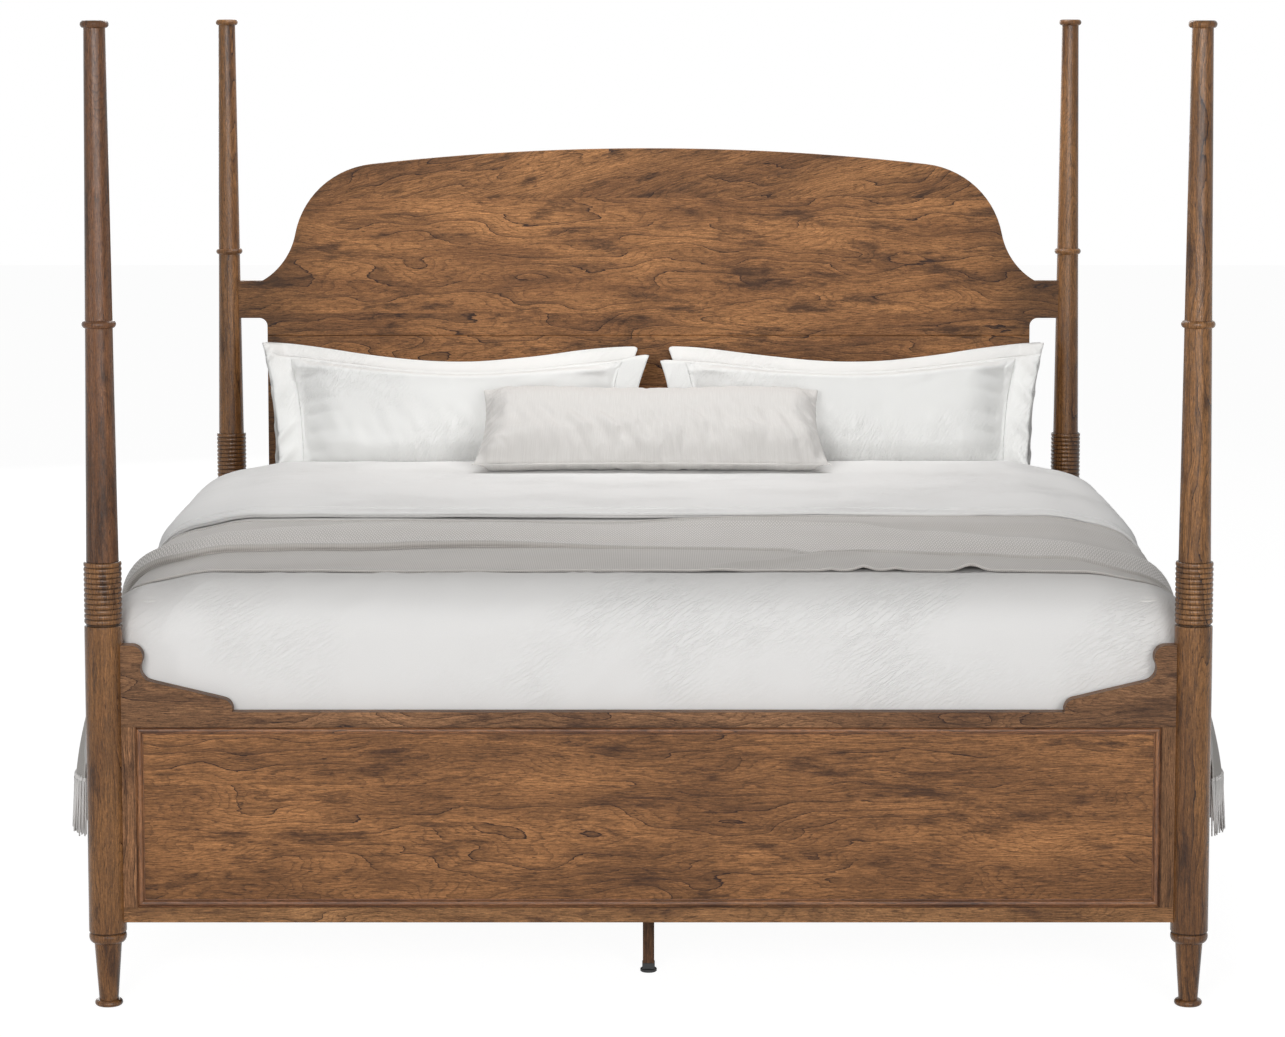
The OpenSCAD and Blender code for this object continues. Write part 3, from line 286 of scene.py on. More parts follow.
def groove_stain_and_shade(tree, coordinates):
    """Darker grooves in a lower post's rings, partly pooled stain and partly painted shade, by the distance
    from the post's axis.
    """
    low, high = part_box("post_lower_front_right")
    axis, post_r = (low + high) / 2, (high.x - low.x) / 2
    first = add(tree, "VectorMath", {0: coordinates}, operation="ABSOLUTE")
    from_axis = add(tree, "VectorMath", {0: first, 1: (axis.x, -axis.y, 0.0)}, operation="SUBTRACT")
    level = add(tree, "VectorMath", {0: from_axis, 1: (1.0, 1.0, 0.0)}, operation="MULTIPLY")
    radius = add(tree, "VectorMath", {0: level}, operation="LENGTH")
    return add(tree, "MapRange", {"Value": radius.outputs["Value"], "From Min": post_r - groove_depth,
                                  "From Max": post_r - 0.0004, "To Min": 0.30, "To Max": 1.0})

# %% [markdown]
# ## A board's finish
# One function makes a whole finish from these patterns. A board's grain runs along X, Y or Z, so the
# pattern is turned. The stain's two tones come first, then its dark clouds, the growth lines, the fibres
# and the pores, and the satin lacquer leaves a little of the fibres' relief.


# %% Wood
def wood(name, grain, light, middle, dark, ring_mm=36.0, drift=1.0, place=(0.0, 0.0, 0.0), rough=0.46,
         gloss=0.2, joints=(), dark_ends=1.0, grooves=False):
    """Stained wood with its grain along one axis. ring_mm is the usual distance between growth lines.

    dark_ends is the brightness at the bed's sides, and grooves says whether ring grooves are darker.
    """
    material, tree, shader = new_material(name)
    coordinates = add(tree, "TexCoord").outputs["Object"]
    turned = add(tree, "Mapping", {"Vector": coordinates, "Location": place,
                                   "Rotation": grain_turns[grain]})
    turned, shade = glued_boards(tree, coordinates, turned, joints)
    # Darker ring grooves: stain that pools there, and painted shade.
    if grooves:
        shade = groove_stain_and_shade(tree, coordinates)
    lines = growth_lines(tree, turned, ring_mm, drift)
    slow_tone = stretched_noise(tree, turned, 430, 90, 4.0, 0.55)
    tone = add(tree, "MapRange", {"Value": slow_tone, "From Min": 0.36, "From Max": 0.64})
    stain = stretched_noise(tree, turned, 170, 38, 7.0, 0.72)
    clouds = add(tree, "MapRange", {"Value": stain, "From Min": 0.50, "From Max": 0.68, "To Max": 0.85},
                 interpolation_type="SMOOTHSTEP")
    # A real fibre is 0.1 mm wide. The finest are drawn 1.8 mm wide, so that they show in a whole picture.
    fine = streaks(tree, turned, 26, 1.8, 0.46, 1.54)
    coarse = streaks(tree, turned, 190, 5.0, 0.78, 1.22)
    mottle = streaks(tree, turned, 5, 2.4, 0.78, 1.22, 2.0)
    on_bed = add(tree, "SeparateXYZ", {"Vector": coordinates})
    outwards = add(tree, "Math", {0: on_bed.outputs["X"]}, operation="ABSOLUTE")
    end_shade = add(tree, "MapRange", {"Value": outwards, "From Min": arm_from_x, "From Max": arm_to_x,
                                       "To Min": 1.0, "To Max": dark_ends}, interpolation_type="SMOOTHSTEP")
    shaded = fine
    for factor in (coarse, mottle, shade, end_shade):
        shaded = add(tree, "Math", {0: shaded, 1: factor}, operation="MULTIPLY")
    pore_noise = stretched_noise(tree, turned, 16, 1.6, 1.0)
    pores = add(tree, "MapRange", {"Value": pore_noise, "From Min": 0.62, "From Max": 0.72, "To Max": 0.75})

    body = add(tree, "Mix", {0: tone, 6: linear(middle), 7: linear(light)}, data_type="RGBA")
    clouded = add(tree, "Mix", {0: clouds, 6: body, 7: linear(dark)}, data_type="RGBA")
    lined = add(tree, "Mix", {0: lines, 6: clouded, 7: linear(growth_line_colour)}, data_type="RGBA")
    grained = add(tree, "VectorMath", {0: lined, "Scale": shaded}, operation="SCALE")
    colour = add(tree, "Mix", {0: pores, 6: grained, 7: linear(pore_colour)}, data_type="RGBA")

    height = add(tree, "Math", {0: fine, 1: pores}, operation="SUBTRACT")
    edges = add(tree, "Bevel", {"Radius": edge_r}, samples=4)
    relief = add(tree, "Bump", {"Strength": 0.3, "Distance": 0.0005, "Height": height, "Normal": edges})
    shine = add(tree, "MapRange", {"Value": fine, "From Min": 0.6, "From Max": 1.4,
                                   "To Min": rough + 0.09, "To Max": rough - 0.05})
    dress(tree, shader, Base_Color=colour, Roughness=shine, Normal=relief)
    shader.inputs["Specular IOR Level"].default_value = gloss
    return material


# %% [markdown]
# ## The woods of the bed
# Each kind of piece has its own tone, its own stretch of the pattern, and growth lines that suit its size.
# The turned posts are smoother and shine a little more, as a lathe and a finer sanding leave them.

# %% Woods
headboard_wood = wood("satin_stained_cherry_headboard", "x", "a97649", "7e5533", "3b2516", dark_ends=0.52,
                      joints=((1.128, 1.10, 0.0), (1.405, 0.80, 0.24)))
panel_wood = wood("satin_stained_cherry_panel", "x", "a06f45", "754f30", "3c2517", place=(3.1, 0, 1.7),
                  joints=((0.420, 0.98, 0.0),))
frame_wood = wood("satin_stained_cherry_top_rail", "x", "8d6646", "6c4b31", "40291b",
                  ring_mm=26.0, place=(1.3, 0, 4.2), dark_ends=0.86)
low_rail_wood = wood("satin_stained_cherry_bottom_rail", "x", "a5784f", "7f5938", "4c3222",
                     ring_mm=26.0, place=(2.3, 0, 2.2))
stile_wood = wood("satin_stained_cherry_stiles", "z", "966b49", "725034", "40291b", ring_mm=20.0, drift=0.4)

moulding_colours = ("8f613d", "6f472d", "47291a")
moulding_look = {"ring_mm": 18.0, "rough": 0.38, "gloss": 0.4}
moulding_wood = wood("satin_stained_cherry_moulding", "x", *moulding_colours, drift=0.5,
                     place=(0.7, 0, 2.2), **moulding_look)
side_moulding_wood = wood("satin_stained_cherry_side_moulding", "z", *moulding_colours, drift=0.4,
                          place=(0.3, 0, 1.2), **moulding_look)

# The upper part of the front left post is drawn darker as painted shade, because the lamps light it more
# than the other posts.
post_colours = ("94683e", "6e4a2c", "382317")
painted_shade_post_colours = ("724c31", "523520", "2b1b11")
turned_look = {"ring_mm": 15.0, "drift": 0.45, "rough": 0.22, "gloss": 0.28}
post_wood = wood("satin_stained_cherry_posts", "z", *post_colours, **turned_look)
ringed_post_wood = wood("satin_stained_cherry_ringed_posts", "z", *post_colours, grooves=True,
                        **turned_look)
painted_shade_post_wood = wood("satin_stained_cherry_painted_shade_post", "z", *painted_shade_post_colours, place=(2.2, 0, 0.4),
                      **turned_look)

rail_wood = wood("satin_stained_cherry_side_rails", "y", "876242", "694b32", "412b1d", place=(0.4, 0, 0.9))
leg_wood = wood("satin_stained_cherry_legs", "z", "5f4029", "4a311f", "302013", ring_mm=14.0, drift=0.3)
slat_wood = wood("planed_pine_slats", "x", "cfae84", "b9946a", "94714c", ring_mm=26.0, drift=0.4, rough=0.6)
print("woods", [m.name for m in bpy.data.materials if "cherry" in m.name or "pine" in m.name])

# %% [markdown]
# ## Metal, plastic and nylon
# The hidden plates and screws are zinc-plated steel: a pale grey metal with fine rolling marks. The end
# caps and levelling pads are moulded black plastic with a slight grain, and the glides are brown nylon.


# %% Steel and plastic
def small_part_finish(name, base, metallic, rough, mark_mm, relief_mm):
    """Metal or plastic with marks of a given size, in its roughness and its relief."""
    material, tree, shader = new_material(name)
    coordinates = add(tree, "TexCoord")
    marks = add(tree, "TexNoise", {"Vector": coordinates.outputs["Object"], "Scale": 1000 / mark_mm,
                                   "Detail": 4.0, "Roughness": 0.6})
    shine = add(tree, "MapRange", {"Value": marks, "To Min": rough - 0.08, "To Max": rough + 0.1})
    tint = add(tree, "Mix", {0: marks, 6: linear(base[0]), 7: linear(base[1])}, data_type="RGBA")
    relief = add(tree, "Bump", {"Strength": 0.3, "Distance": relief_mm / 1000, "Height": marks})
    dress(tree, shader, Base_Color=tint, Roughness=shine, Normal=relief)
    shader.inputs["Metallic"].default_value = metallic
    return material


zinc_steel = small_part_finish("zinc_plated_steel", ("a9abad", "c6c8c9"), 1.0, 0.38, 4.0, 0.05)
black_plastic = small_part_finish("moulded_black_plastic", ("141414", "1e1e1e"), 0.0, 0.5, 2.0, 0.08)
brown_nylon = small_part_finish("moulded_brown_nylon", ("3a2a20", "4a372b"), 0.0, 0.55, 3.0, 0.08)

# %% [markdown]
# ## Cloth
# The duvet and the shams are cotton, the long pillow is linen, and the throw is a wool herringbone.
# Cloth scatters light softly, so it is rough with a little sheen, and its threads and crinkles are relief.
# The threads follow the cloth, so a pattern reads the piece's own flat map, which is in metres.


# %% Cloth
throw_shade_colour = "b0aca8"


def cloth(name, pale, deep, weave, thread_mm, relief_mm, crinkle_mm=0.0, crinkle_turn=35.0, flat=True,
          sheen=0.25, shaded=False):
    """Woven cloth. weave is plain, slub or herringbone, and crinkle_mm the depth of its small creases.

    flat says whether the piece has a flat map, and shaded whether it takes the painted shade in front of the
    throw.
    """
    material, tree, shader = new_material(name)
    if flat:
        place = add(tree, "UVMap", uv_map="cloth")
    else:
        place = add(tree, "TexCoord").outputs["Object"]
    parts = add(tree, "SeparateXYZ", {"Vector": place})
    turns = 2 * math.pi * 1000 / thread_mm
    if weave == "herringbone":
        # A stripe leans by its own width over this length, and turns back in the next column.
        leg_mm = 6.8 * thread_mm
        column_mm = 1.1 * thread_mm
        zigzag = add(tree, "Math", {0: parts.outputs["X"], 1: column_mm / 1000}, operation="PINGPONG")
        slanted = add(tree, "Math", {0: parts.outputs["Y"], 1: thread_mm / leg_mm, 2: zigzag},
                      operation="MULTIPLY_ADD")
        slant_turns = add(tree, "Math", {0: slanted, 1: turns}, operation="MULTIPLY")
        twill = add(tree, "Math", {0: slant_turns}, operation="SINE")
        rib_turns = add(tree, "Math", {0: parts.outputs["X"], 1: 2 * math.pi * 1000 / column_mm},
                        operation="MULTIPLY")
        ribs = add(tree, "Math", {0: rib_turns}, operation="COSINE")
        raised = add(tree, "Math", {0: ribs, 1: 0.25, 2: twill}, operation="MULTIPLY_ADD")
        face = add(tree, "MapRange", {"Value": raised, "From Min": -1.25, "From Max": 1.25})
        # In front of the middle band and behind it the cloth shows its back, which has plain ribs of its
        # own, drawn darker as painted shade of the pleats.
        back = add(tree, "MapRange", {"Value": ribs, "From Min": -1.0, "To Min": 0.10, "To Max": 0.42})
        back_and_shade = add(tree, "Attribute", attribute_name="back_side_and_shade")
        threads = add(tree, "Mix", {0: back_and_shade.outputs["Fac"], 2: face, 3: back})
    elif weave == "slub":
        upright = add(tree, "Mapping", {"Vector": place, "Rotation": (0, 0, math.pi / 2)})
        threads = stretched_noise(tree, upright, 30 * thread_mm, thread_mm, 3.0, 0.7)
    else:
        threads = stretched_noise(tree, place, thread_mm, thread_mm, 2.0, 0.6)
    turned = add(tree, "Mapping", {"Vector": place, "Rotation": (0, 0, math.radians(crinkle_turn))})
    creases = stretched_noise(tree, turned, 62, 9, 3.0, 0.6)
    folded = add(tree, "Math", {0: creases, 1: 0.5}, operation="SUBTRACT")
    from_fold = add(tree, "Math", {0: folded}, operation="ABSOLUTE")
    sharp = add(tree, "MapRange", {"Value": from_fold, "From Max": 0.07, "To Min": 1.0, "To Max": 0.0},
                interpolation_type="SMOOTHSTEP")
    patches = stretched_noise(tree, place, 330, 260, 2.0)
    where = add(tree, "MapRange", {"Value": patches, "From Min": 0.40, "From Max": 0.66},
                interpolation_type="SMOOTHSTEP")
    creased = add(tree, "Math", {0: sharp, 1: where}, operation="MULTIPLY")

    worn = stretched_noise(tree, place, 420, 300, 3.0)
    wear = add(tree, "Math", {0: worn, 1: 0.25}, operation="MULTIPLY")
    tone = add(tree, "Math", {0: threads, 1: 0.75, 2: wear}, operation="MULTIPLY_ADD")
    colour = add(tree, "Mix", {0: tone, 6: linear(deep), 7: linear(pale)}, data_type="RGBA")
    if shaded:
        # The lamps leave the cloth in front of the throw too light, so its soft shade is a tint as well.
        shade = add(tree, "Attribute", attribute_name="throw_shade")
        colour = add(tree, "Mix", {0: shade.outputs["Fac"], 6: colour, 7: linear(throw_shade_colour)},
                     data_type="RGBA")
    fine = add(tree, "Bump", {"Strength": 0.6, "Distance": relief_mm / 1000, "Height": threads})
    relief = fine
    if crinkle_mm:
        relief = add(tree, "Bump", {"Strength": 0.8, "Distance": crinkle_mm / 1000, "Height": creased,
                                    "Normal": fine})
    dress(tree, shader, Base_Color=colour, Normal=relief)
    shader.inputs["Roughness"].default_value = 0.88
    shader.inputs["Sheen Weight"].default_value = sheen
    shader.inputs["Sheen Roughness"].default_value = 0.5
    shader.inputs["Specular IOR Level"].default_value = 0.25
    return material

# %% [markdown]
# ## The cloths of the bed
# The whites differ a little: the duvet's cotton is washed, the shams' is pressed, and the ticking of the
# mattress is quilted. The throw's hems and fringe are spun of its own yarn.

# %% Cloths
# Real cotton threads are 0.2 mm. They are drawn 2 mm wide, which is about as fine as a picture can show.
duvet_cotton = cloth("washed_white_cotton", "e9e8e7", "dfdedc", "plain", 2.0, 0.10, crinkle_mm=0.9,
                     crinkle_turn=-35.0, shaded=True)
sham_cotton = cloth("pressed_white_cotton", "e8e8e6", "dddddb", "plain", 2.0, 0.08, crinkle_mm=0.9,
                    crinkle_turn=-60.0)
lumbar_linen = cloth("pale_grey_linen", "e2e0dd", "c2beba", "slub", 2.0, 0.20, crinkle_mm=0.5,
                     crinkle_turn=80.0)
# A column of this herringbone is about 3.5 mm wide, and is drawn so.
throw_wool = cloth("grey_wool_herringbone", "f6f2ef", "8e8982", "herringbone", 3.2, 0.8, sheen=0.2)
hem_yarn = cloth("grey_wool_hem", "d2cfcb", "bcb8b3", "plain", 2.0, 0.3, flat=False, sheen=0.2)
throw_yarn = cloth("grey_wool_yarn", "f2f0ee", "e8e5e2", "plain", 2.0, 0.3, flat=False, sheen=0.4)
mattress_cloth = cloth("quilted_white_ticking", "e4e3e1", "d5d3d0", "plain", 2.5, 0.2, flat=False)
box_spring_cloth = cloth("woven_grey_white_ticking", "d9d8d5", "c6c4c1", "plain", 2.5, 0.2, flat=False)
print("cloths", [m.name for m in bpy.data.materials if m.name.endswith(("cotton", "linen", "ticking"))])

# %% [markdown]
# ## Finishes of the CAD nodes
# Each node that stays visible takes the finish of the longest name below that its own name starts with.

# %% Finishes
finish_of = {
    "post_foot": post_wood, "post_lower": ringed_post_wood, "post_upper": post_wood,
    # The front left upper post takes the wood with painted shade.
    "post_upper_front_left": painted_shade_post_wood, "post_studs": zinc_steel, "foot_glides": brown_nylon,
    "footboard_top_rail": frame_wood, "footboard_bottom_rail": low_rail_wood,
    "footboard_stile": stile_wood, "footboard_panel": panel_wood, "footboard_moulding": moulding_wood,
    "footboard_moulding_left": side_moulding_wood, "footboard_moulding_right": side_moulding_wood,
    "headboard_upper_board": headboard_wood, "headboard_lower_board": headboard_wood,
    "headboard_bottom_rail": headboard_wood, "side_rail": rail_wood, "slat_cleat": rail_wood,
    "rail_hook_plates": zinc_steel, "post_slot_plates": zinc_steel, "plate_screws": zinc_steel,
    "slat_": slat_wood, "wood_screws": zinc_steel, "support_leg": leg_wood, "leg_end_caps": black_plastic,
    "leveler_pad": black_plastic, "leveler_stem": zinc_steel,
}
finished = 0
for name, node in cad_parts.items():
    best = max((key for key in finish_of if name.startswith(key)), key=len, default=None)
    if best:
        for material_slot in node.material_slots:
            material_slot.material = finish_of[best]
        finished += 1
print("CAD nodes with a finish", finished, "of", len(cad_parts))

# %% [markdown]
# ## Helpers for soft pieces
# A soft piece starts as a plain bmesh grid. Each point is put in place by a function of its place on the
# flat cloth, and that flat place is kept as the piece's map, in metres, so that threads follow the cloth.


# %% Soft helpers
def ease(value, low, high):
    """0 below low, 1 above high, and a soft step between."""
    share = min(1.0, max(0.0, (value - low) / (high - low)))
    return share * share * (3 - 2 * share)


def ripple(x, y, size, seed):
    """Smooth noise from -1 to 1 whose waves are about as long as size."""
    return noise.noise(Vector((x / size, y / size, seed)))


def slanted_wave(x, y, length, width, turn, seed):
    """Smooth noise from -1 to 1 with waves of a length and a width, turned by an angle in degrees."""
    c, s = math.cos(math.radians(turn)), math.sin(math.radians(turn))
    return noise.noise(Vector(((x * c + y * s) / length, (y * c - x * s) / width, seed)))


def crease(x, y, length, width, turn, seed):
    """Narrow ridges from 0 to 1, where a slanted wave passes through zero."""
    return (1 - min(1.0, abs(slanted_wave(x, y, length, width, turn, seed)) * 3.2)) ** 2


def pleats(place, pitch, seed):
    """Soft grooves from 0 to 1, a pitch apart, whose spacing varies a little."""
    phase = place / pitch + 0.8 * ripple(place, 0.0, 0.09, seed)
    return (0.5 + 0.5 * math.cos(2 * math.pi * phase)) ** 3


def cloth_grid(low, high, step, place, step_y=None):
    """A grid over the flat cloth from low to high. place puts each flat point (x, y) in space."""
    mesh = bmesh.new()
    width, length = high[0] - low[0], high[1] - low[1]
    bmesh.ops.create_grid(mesh, x_segments=round(width / step), y_segments=round(length / (step_y or step)),
                          size=0.5)
    mesh.verts.index_update()
    flat = [(low[0] + (v.co.x + 0.5) * width, low[1] + (v.co.y + 0.5) * length) for v in mesh.verts]
    layer = mesh.loops.layers.uv.new("cloth")
    for face in mesh.faces:
        for loop in face.loops:
            loop[layer].uv = flat[loop.vert.index]
    for vert, point in zip(mesh.verts, flat):
        vert.co = place(*point)
    return mesh, flat


def finish_piece(mesh, name, body, finish):
    """Makes an object of a bmesh, gives it its finish, and lets it ride on a CAD body."""
    data = bpy.data.meshes.new(name)
    mesh.to_mesh(data)
    mesh.free()
    data.polygons.foreach_set("use_smooth", [True] * len(data.polygons))
    data.materials.append(finish)
    piece = bpy.data.objects.new(name, data)
    scene.collection.objects.link(piece)
    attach(piece, body)
    return piece


def thicken(piece, thickness, weights=None, least=0.2):
    """Gives a sheet its thickness, inwards. weights from 0 to 1 make it thinner towards its hems."""
    solid = piece.modifiers.new("thickness", "SOLIDIFY")
    solid.thickness = thickness
    solid.offset = -1.0
    if weights:
        group = piece.vertex_groups.new(name="plump")
        for index, weight in enumerate(weights):
            group.add([index], weight, "REPLACE")
        solid.vertex_group = "plump"
        solid.thickness_vertex_group = least
    return piece


def tube(name, points, radius, finish, body):
    """A cord of cloth along a row of points, as a mesh."""
    data = bpy.data.curves.new(name, "CURVE")
    data.dimensions = "3D"
    data.bevel_depth = radius
    data.bevel_resolution = 2
    data.use_fill_caps = True
    spline = data.splines.new("POLY")
    spline.points.add(len(points) - 1)
    for knot, point in zip(spline.points, points):
        knot.co = (*point, 1.0)
    holder = bpy.data.objects.new(name + "_path", data)
    scene.collection.objects.link(holder)
    made = bpy.data.meshes.new_from_object(holder.evaluated_get(bpy.context.evaluated_depsgraph_get()))
    bpy.data.objects.remove(holder)
    mesh = bmesh.new()
    mesh.from_mesh(made)
    bpy.data.meshes.remove(made)
    return finish_piece(mesh, name, body, finish)


# %% [markdown]
# ## Mattress and box springs
# The footboard hides them in the photograph, and from the side they show under the duvet. Each is a box
# with round upright edges, soft rims and a taped seam round its top and bottom. The mattress border has
# shallow quilted channels.

# %% Mattress and box springs
channel_half, channel_core = 0.012, 0.004
channel_depth = 0.004


def upholstered_block(name, node, corner_r, rim_r, channels, finish, body):
    """A block in the box of a CAD node, with round corners and with channels sewn round its border."""
    low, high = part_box(node)
    size, middle = high - low, (high + low) / 2
    mesh = bmesh.new()
    bmesh.ops.create_cube(mesh, size=1.0, matrix=Matrix.Translation(middle) @ Matrix.Diagonal((*size, 1.0)))
    upright = [e for e in mesh.edges if abs(e.verts[0].co.z - e.verts[1].co.z) > size.z / 2]
    bmesh.ops.bevel(mesh, geom=upright, offset=corner_r, affect="EDGES", segments=8, profile=0.5,
                    material=-1)
    rims = [e for e in mesh.edges if abs(e.verts[0].co.z - e.verts[1].co.z) < 1e-6]
    bmesh.ops.bevel(mesh, geom=rims, offset=rim_r, affect="EDGES", segments=3, profile=0.5, material=-1)
    for channel in channels:
        z = low.z + channel * size.z
        for offset in (-channel_half, -channel_core, 0.0, channel_core, channel_half):
            bmesh.ops.bisect_plane(mesh, geom=mesh.verts[:] + mesh.edges[:] + mesh.faces[:],
                                   plane_co=(0, 0, z + offset), plane_no=(0, 0, 1))
        for vert in mesh.verts:
            if abs(vert.co.z - z) < channel_core + 0.001:
                depth = channel_depth if abs(vert.co.z - z) < 0.001 else channel_depth / 2
                inwards = Vector((middle.x - vert.co.x, middle.y - vert.co.y, 0)).normalized()
                vert.co += inwards * depth
    bmesh.ops.recalc_face_normals(mesh, faces=mesh.faces)
    piece = finish_piece(mesh, name, body, finish)
    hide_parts(node)
    return piece


def tape_seams(name, node, corner_r, finish, body, radius=0.004, inset=0.006):
    """Two rounded bands of tape round a block, near its top and its bottom."""
    low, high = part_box(node)
    mesh = bmesh.new()
    for z in (low.z + inset + radius, high.z - inset - radius):
        ring = bmesh.new()
        size = high - low
        bmesh.ops.create_grid(ring, x_segments=1, y_segments=1, size=0.5,
                              matrix=Matrix.Translation(((low.x + high.x) / 2, (low.y + high.y) / 2, z))
                              @ Matrix.Diagonal((size.x, size.y, 1.0, 1.0)))
        bmesh.ops.bevel(ring, geom=ring.verts, offset=corner_r, affect="VERTICES", segments=8, profile=0.5,
                        material=-1)
        outline = [v.co.copy() for v in next(iter(ring.faces)).verts]
        ring.free()
        for i, point in enumerate(outline):
            after = outline[(i + 1) % len(outline)]
            way = after - point
            turn = way.to_track_quat("Z", "Y").to_matrix().to_4x4()
            bmesh.ops.create_cone(mesh, cap_ends=False, segments=8, radius1=radius, radius2=radius,
                                  depth=way.length, matrix=Matrix.Translation((point + after) / 2) @ turn)
    bmesh.ops.remove_doubles(mesh, verts=mesh.verts, dist=0.0012)
    return finish_piece(mesh, name, body, finish)


block_corner = 0.045
mattress_rim, box_spring_rim = 0.012, 0.006
quilted_channels = (0.3, 0.5, 0.7)
mattress = upholstered_block("mattress_quilted", "mattress", block_corner, mattress_rim, quilted_channels,
                             mattress_cloth, "bedding")
tape_seams("mattress_tape", "mattress", block_corner, mattress_cloth, "bedding")
for side in ("left", "right"):
    node = "box_spring_" + side
    upholstered_block(node + "_covered", node, block_corner, box_spring_rim, (),
                      box_spring_cloth, "frame")
    tape_seams(node + "_tape", node, block_corner, box_spring_cloth, "frame", radius=0.003)
print("mattress", [round(v, 3) for v in mattress.dimensions])

# %% [markdown]
# ## The shape of the made bed
# Duvet, fold and throw all lie on one surface: flat over the mattress, round over its edges and then
# hanging down. A point of it is found from two paths over the cloth, one across and one along the bed. At
# a foot corner the cloth turns from one fall to the other, as the lead of the two paths says.

# %% Surface of the bed
mattress_low, mattress_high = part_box("mattress")
duvet_low, duvet_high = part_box("duvet")
throw_low, throw_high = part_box("throw")
duvet_t = 0.034
fold_t = 0.012
foot_hem_z = 0.480
cover_z = mattress_high.z + duvet_t
# The flat top ends a little inside the mattress, where the round edges begin.
flat_x = mattress_high.x - 0.035
flat_y = mattress_low.y + 0.064
side_r, foot_r = 0.095, 0.100
side_depth = cover_z - duvet_low.z
foot_depth = cover_z - foot_hem_z
side_flare = 0.044
side_droop = 0.022
head_puff = 0.026
hill_height, small_hill_height = 0.0030, 0.0014
hanging_fold_depth, hanging_fold_pitch = 0.010, 0.29
side_path = side_r * math.pi / 2 + side_depth - side_r
foot_path = foot_r * math.pi / 2 + foot_depth - foot_r
half_across = flat_x + side_path
head_along = duvet_high.y - flat_y


def droop(across, fall):
    """The duvet sags towards its side edges, more than the round edge alone would."""
    return side_droop * ease(abs(across), 0.82, 0.97) * (1 - ease(fall, 0.0, 1.0))


def side_puff(along):
    """The folded head half of the duvet bulges out at its sides."""
    return head_puff * ease(along, 0.84, 1.12)


def past(distance, radius, depth):
    """How far a path has gone down a fall: 0 to 1 round the edge, and 1 to 2 down to the hem."""
    arc = radius * math.pi / 2
    if distance <= 0:
        return 0.0
    return distance / arc if distance < arc else 1 + (distance - arc) / (depth - radius)


def on_bed(across, along, lift=0.0):
    """Point of the bed's surface. across starts in the middle, and along where the foot fall begins."""
    side = math.copysign(1.0, across)
    side_share = past(abs(across) - flat_x, side_r, side_depth)
    foot_share = past(-along, foot_r, foot_depth)
    both = side_share + foot_share
    turn = 90 * foot_share / both if both else 0.0
    lead = max(side_share, foot_share)
    radius = side_r + (foot_r - side_r) * turn / 90 + lift
    depth = side_depth + (foot_depth - side_depth) * turn / 90 + lift
    angle = math.radians(90 * min(lead, 1.0))
    fall = max(0.0, lead - 1)
    flare = side_flare * math.sin(math.radians(90 * min(fall, 1.0))) * max(0.0, 1 - turn / 45)
    puff = side_puff(along)
    out = (radius + puff) * math.sin(angle) + flare * (1 - puff / (2 * head_puff))
    down = radius * (1 - math.cos(angle)) + fall * (depth - radius)
    x = side * (min(abs(across), flat_x) + out * math.cos(math.radians(turn)))
    y = flat_y + max(along, 0.0) - out * math.sin(math.radians(turn))
    return Vector((x, y, cover_z + lift - down - droop(across, fall)))


def corner_calm(across, along):
    """1 over most of the bed, and 0 at the foot corners, where the posts stand close to the cloth."""
    return 1 - ease(abs(across), flat_x - 0.05, flat_x + 0.04) * (1 - ease(along, 0.0, 0.25))


def bed_relief(across, along):
    """Soft hills and hollows that the duvet and all that lies on it share."""
    hills = hill_height * ripple(across, along, 0.42, 1.3)
    hills += small_hill_height * ripple(across, along, 0.15, 4.1)
    fall = max(0.0, past(abs(across) - flat_x, side_r, side_depth) - 1)
    phase = 2 * math.pi * along / hanging_fold_pitch + 1.6 * ripple(along, 0.0, 0.3, 9.0)
    folds = hanging_fold_depth * min(fall, 1.2) * math.sin(phase)
    return (hills + folds) * corner_calm(across, along)


print("duvet paths: across", round(2 * half_across, 3), "along", round(head_along + foot_path, 3))

# %% [markdown]
# ## Duvet
# A washed cotton duvet, plump and pinched at its hems. It could be draped by simulation, but it lies
# neatly between four posts, so it is shaped by the surface of the bed, with creases over its foot fall.

# %% Duvet
throw_front = throw_low.y - flat_y
throw_press = 0.010
fold_along = throw_high.y + 0.008 - flat_y
crease_height, corner_depth, hem_pinch = 0.0030, 0.010, 0.010
duvet_step, duvet_body_t = 0.0135, 0.030
# In front of the throw a painted shade darkens the cloth by this much, fading out over this distance.
shade_strength, shade_reach = 0.8, 0.20


def hem_distance(across, along):
    """How far a point of the duvet is from its nearest hem."""
    return min(half_across - abs(across), along + foot_path, head_along - along)


def corner_folds(across, along):
    """Deep creases that run down the foot corners, where the cloth is gathered."""
    near = ease(abs(across), flat_x + 0.02, flat_x + 0.09) * ease(-along, -0.05, 0.10)
    return near * crease(across, along, 0.35, 0.035, 90, 7.7)


def press(along):
    """How far the weight of the throw presses the duvet down, less towards the throw's back edge."""
    back_start = throw_high.y - flat_y - 0.22
    from_back = 1 - ease(along, back_start, back_start + 0.10)
    return throw_press * ease(along, 0.0, throw_front - 0.01) * from_back


def duvet_point(across, along):
    """Place of a point of the duvet, with its hems pinched and its foot fall creased."""
    plump = ease(hem_distance(across, along), 0.0, 0.06)
    on_foot = ease(-along, -0.25, 0.05)
    small = crease(across, along, 0.22, 0.05, 32, 5.5) * ease(ripple(across, along, 0.35, 2.2), -0.1, 0.5)
    creased = crease_height * small * (0.35 + 0.65 * on_foot) * corner_calm(across, along)
    creased -= corner_depth * corner_folds(across, along)
    under_fold = ease(along, fold_along - 0.02, fold_along + 0.06)
    lift = (bed_relief(across, along) + creased) * (1 - under_fold) - 0.002 * under_fold
    return on_bed(across, along, lift - press(along) - hem_pinch * (1 - plump))


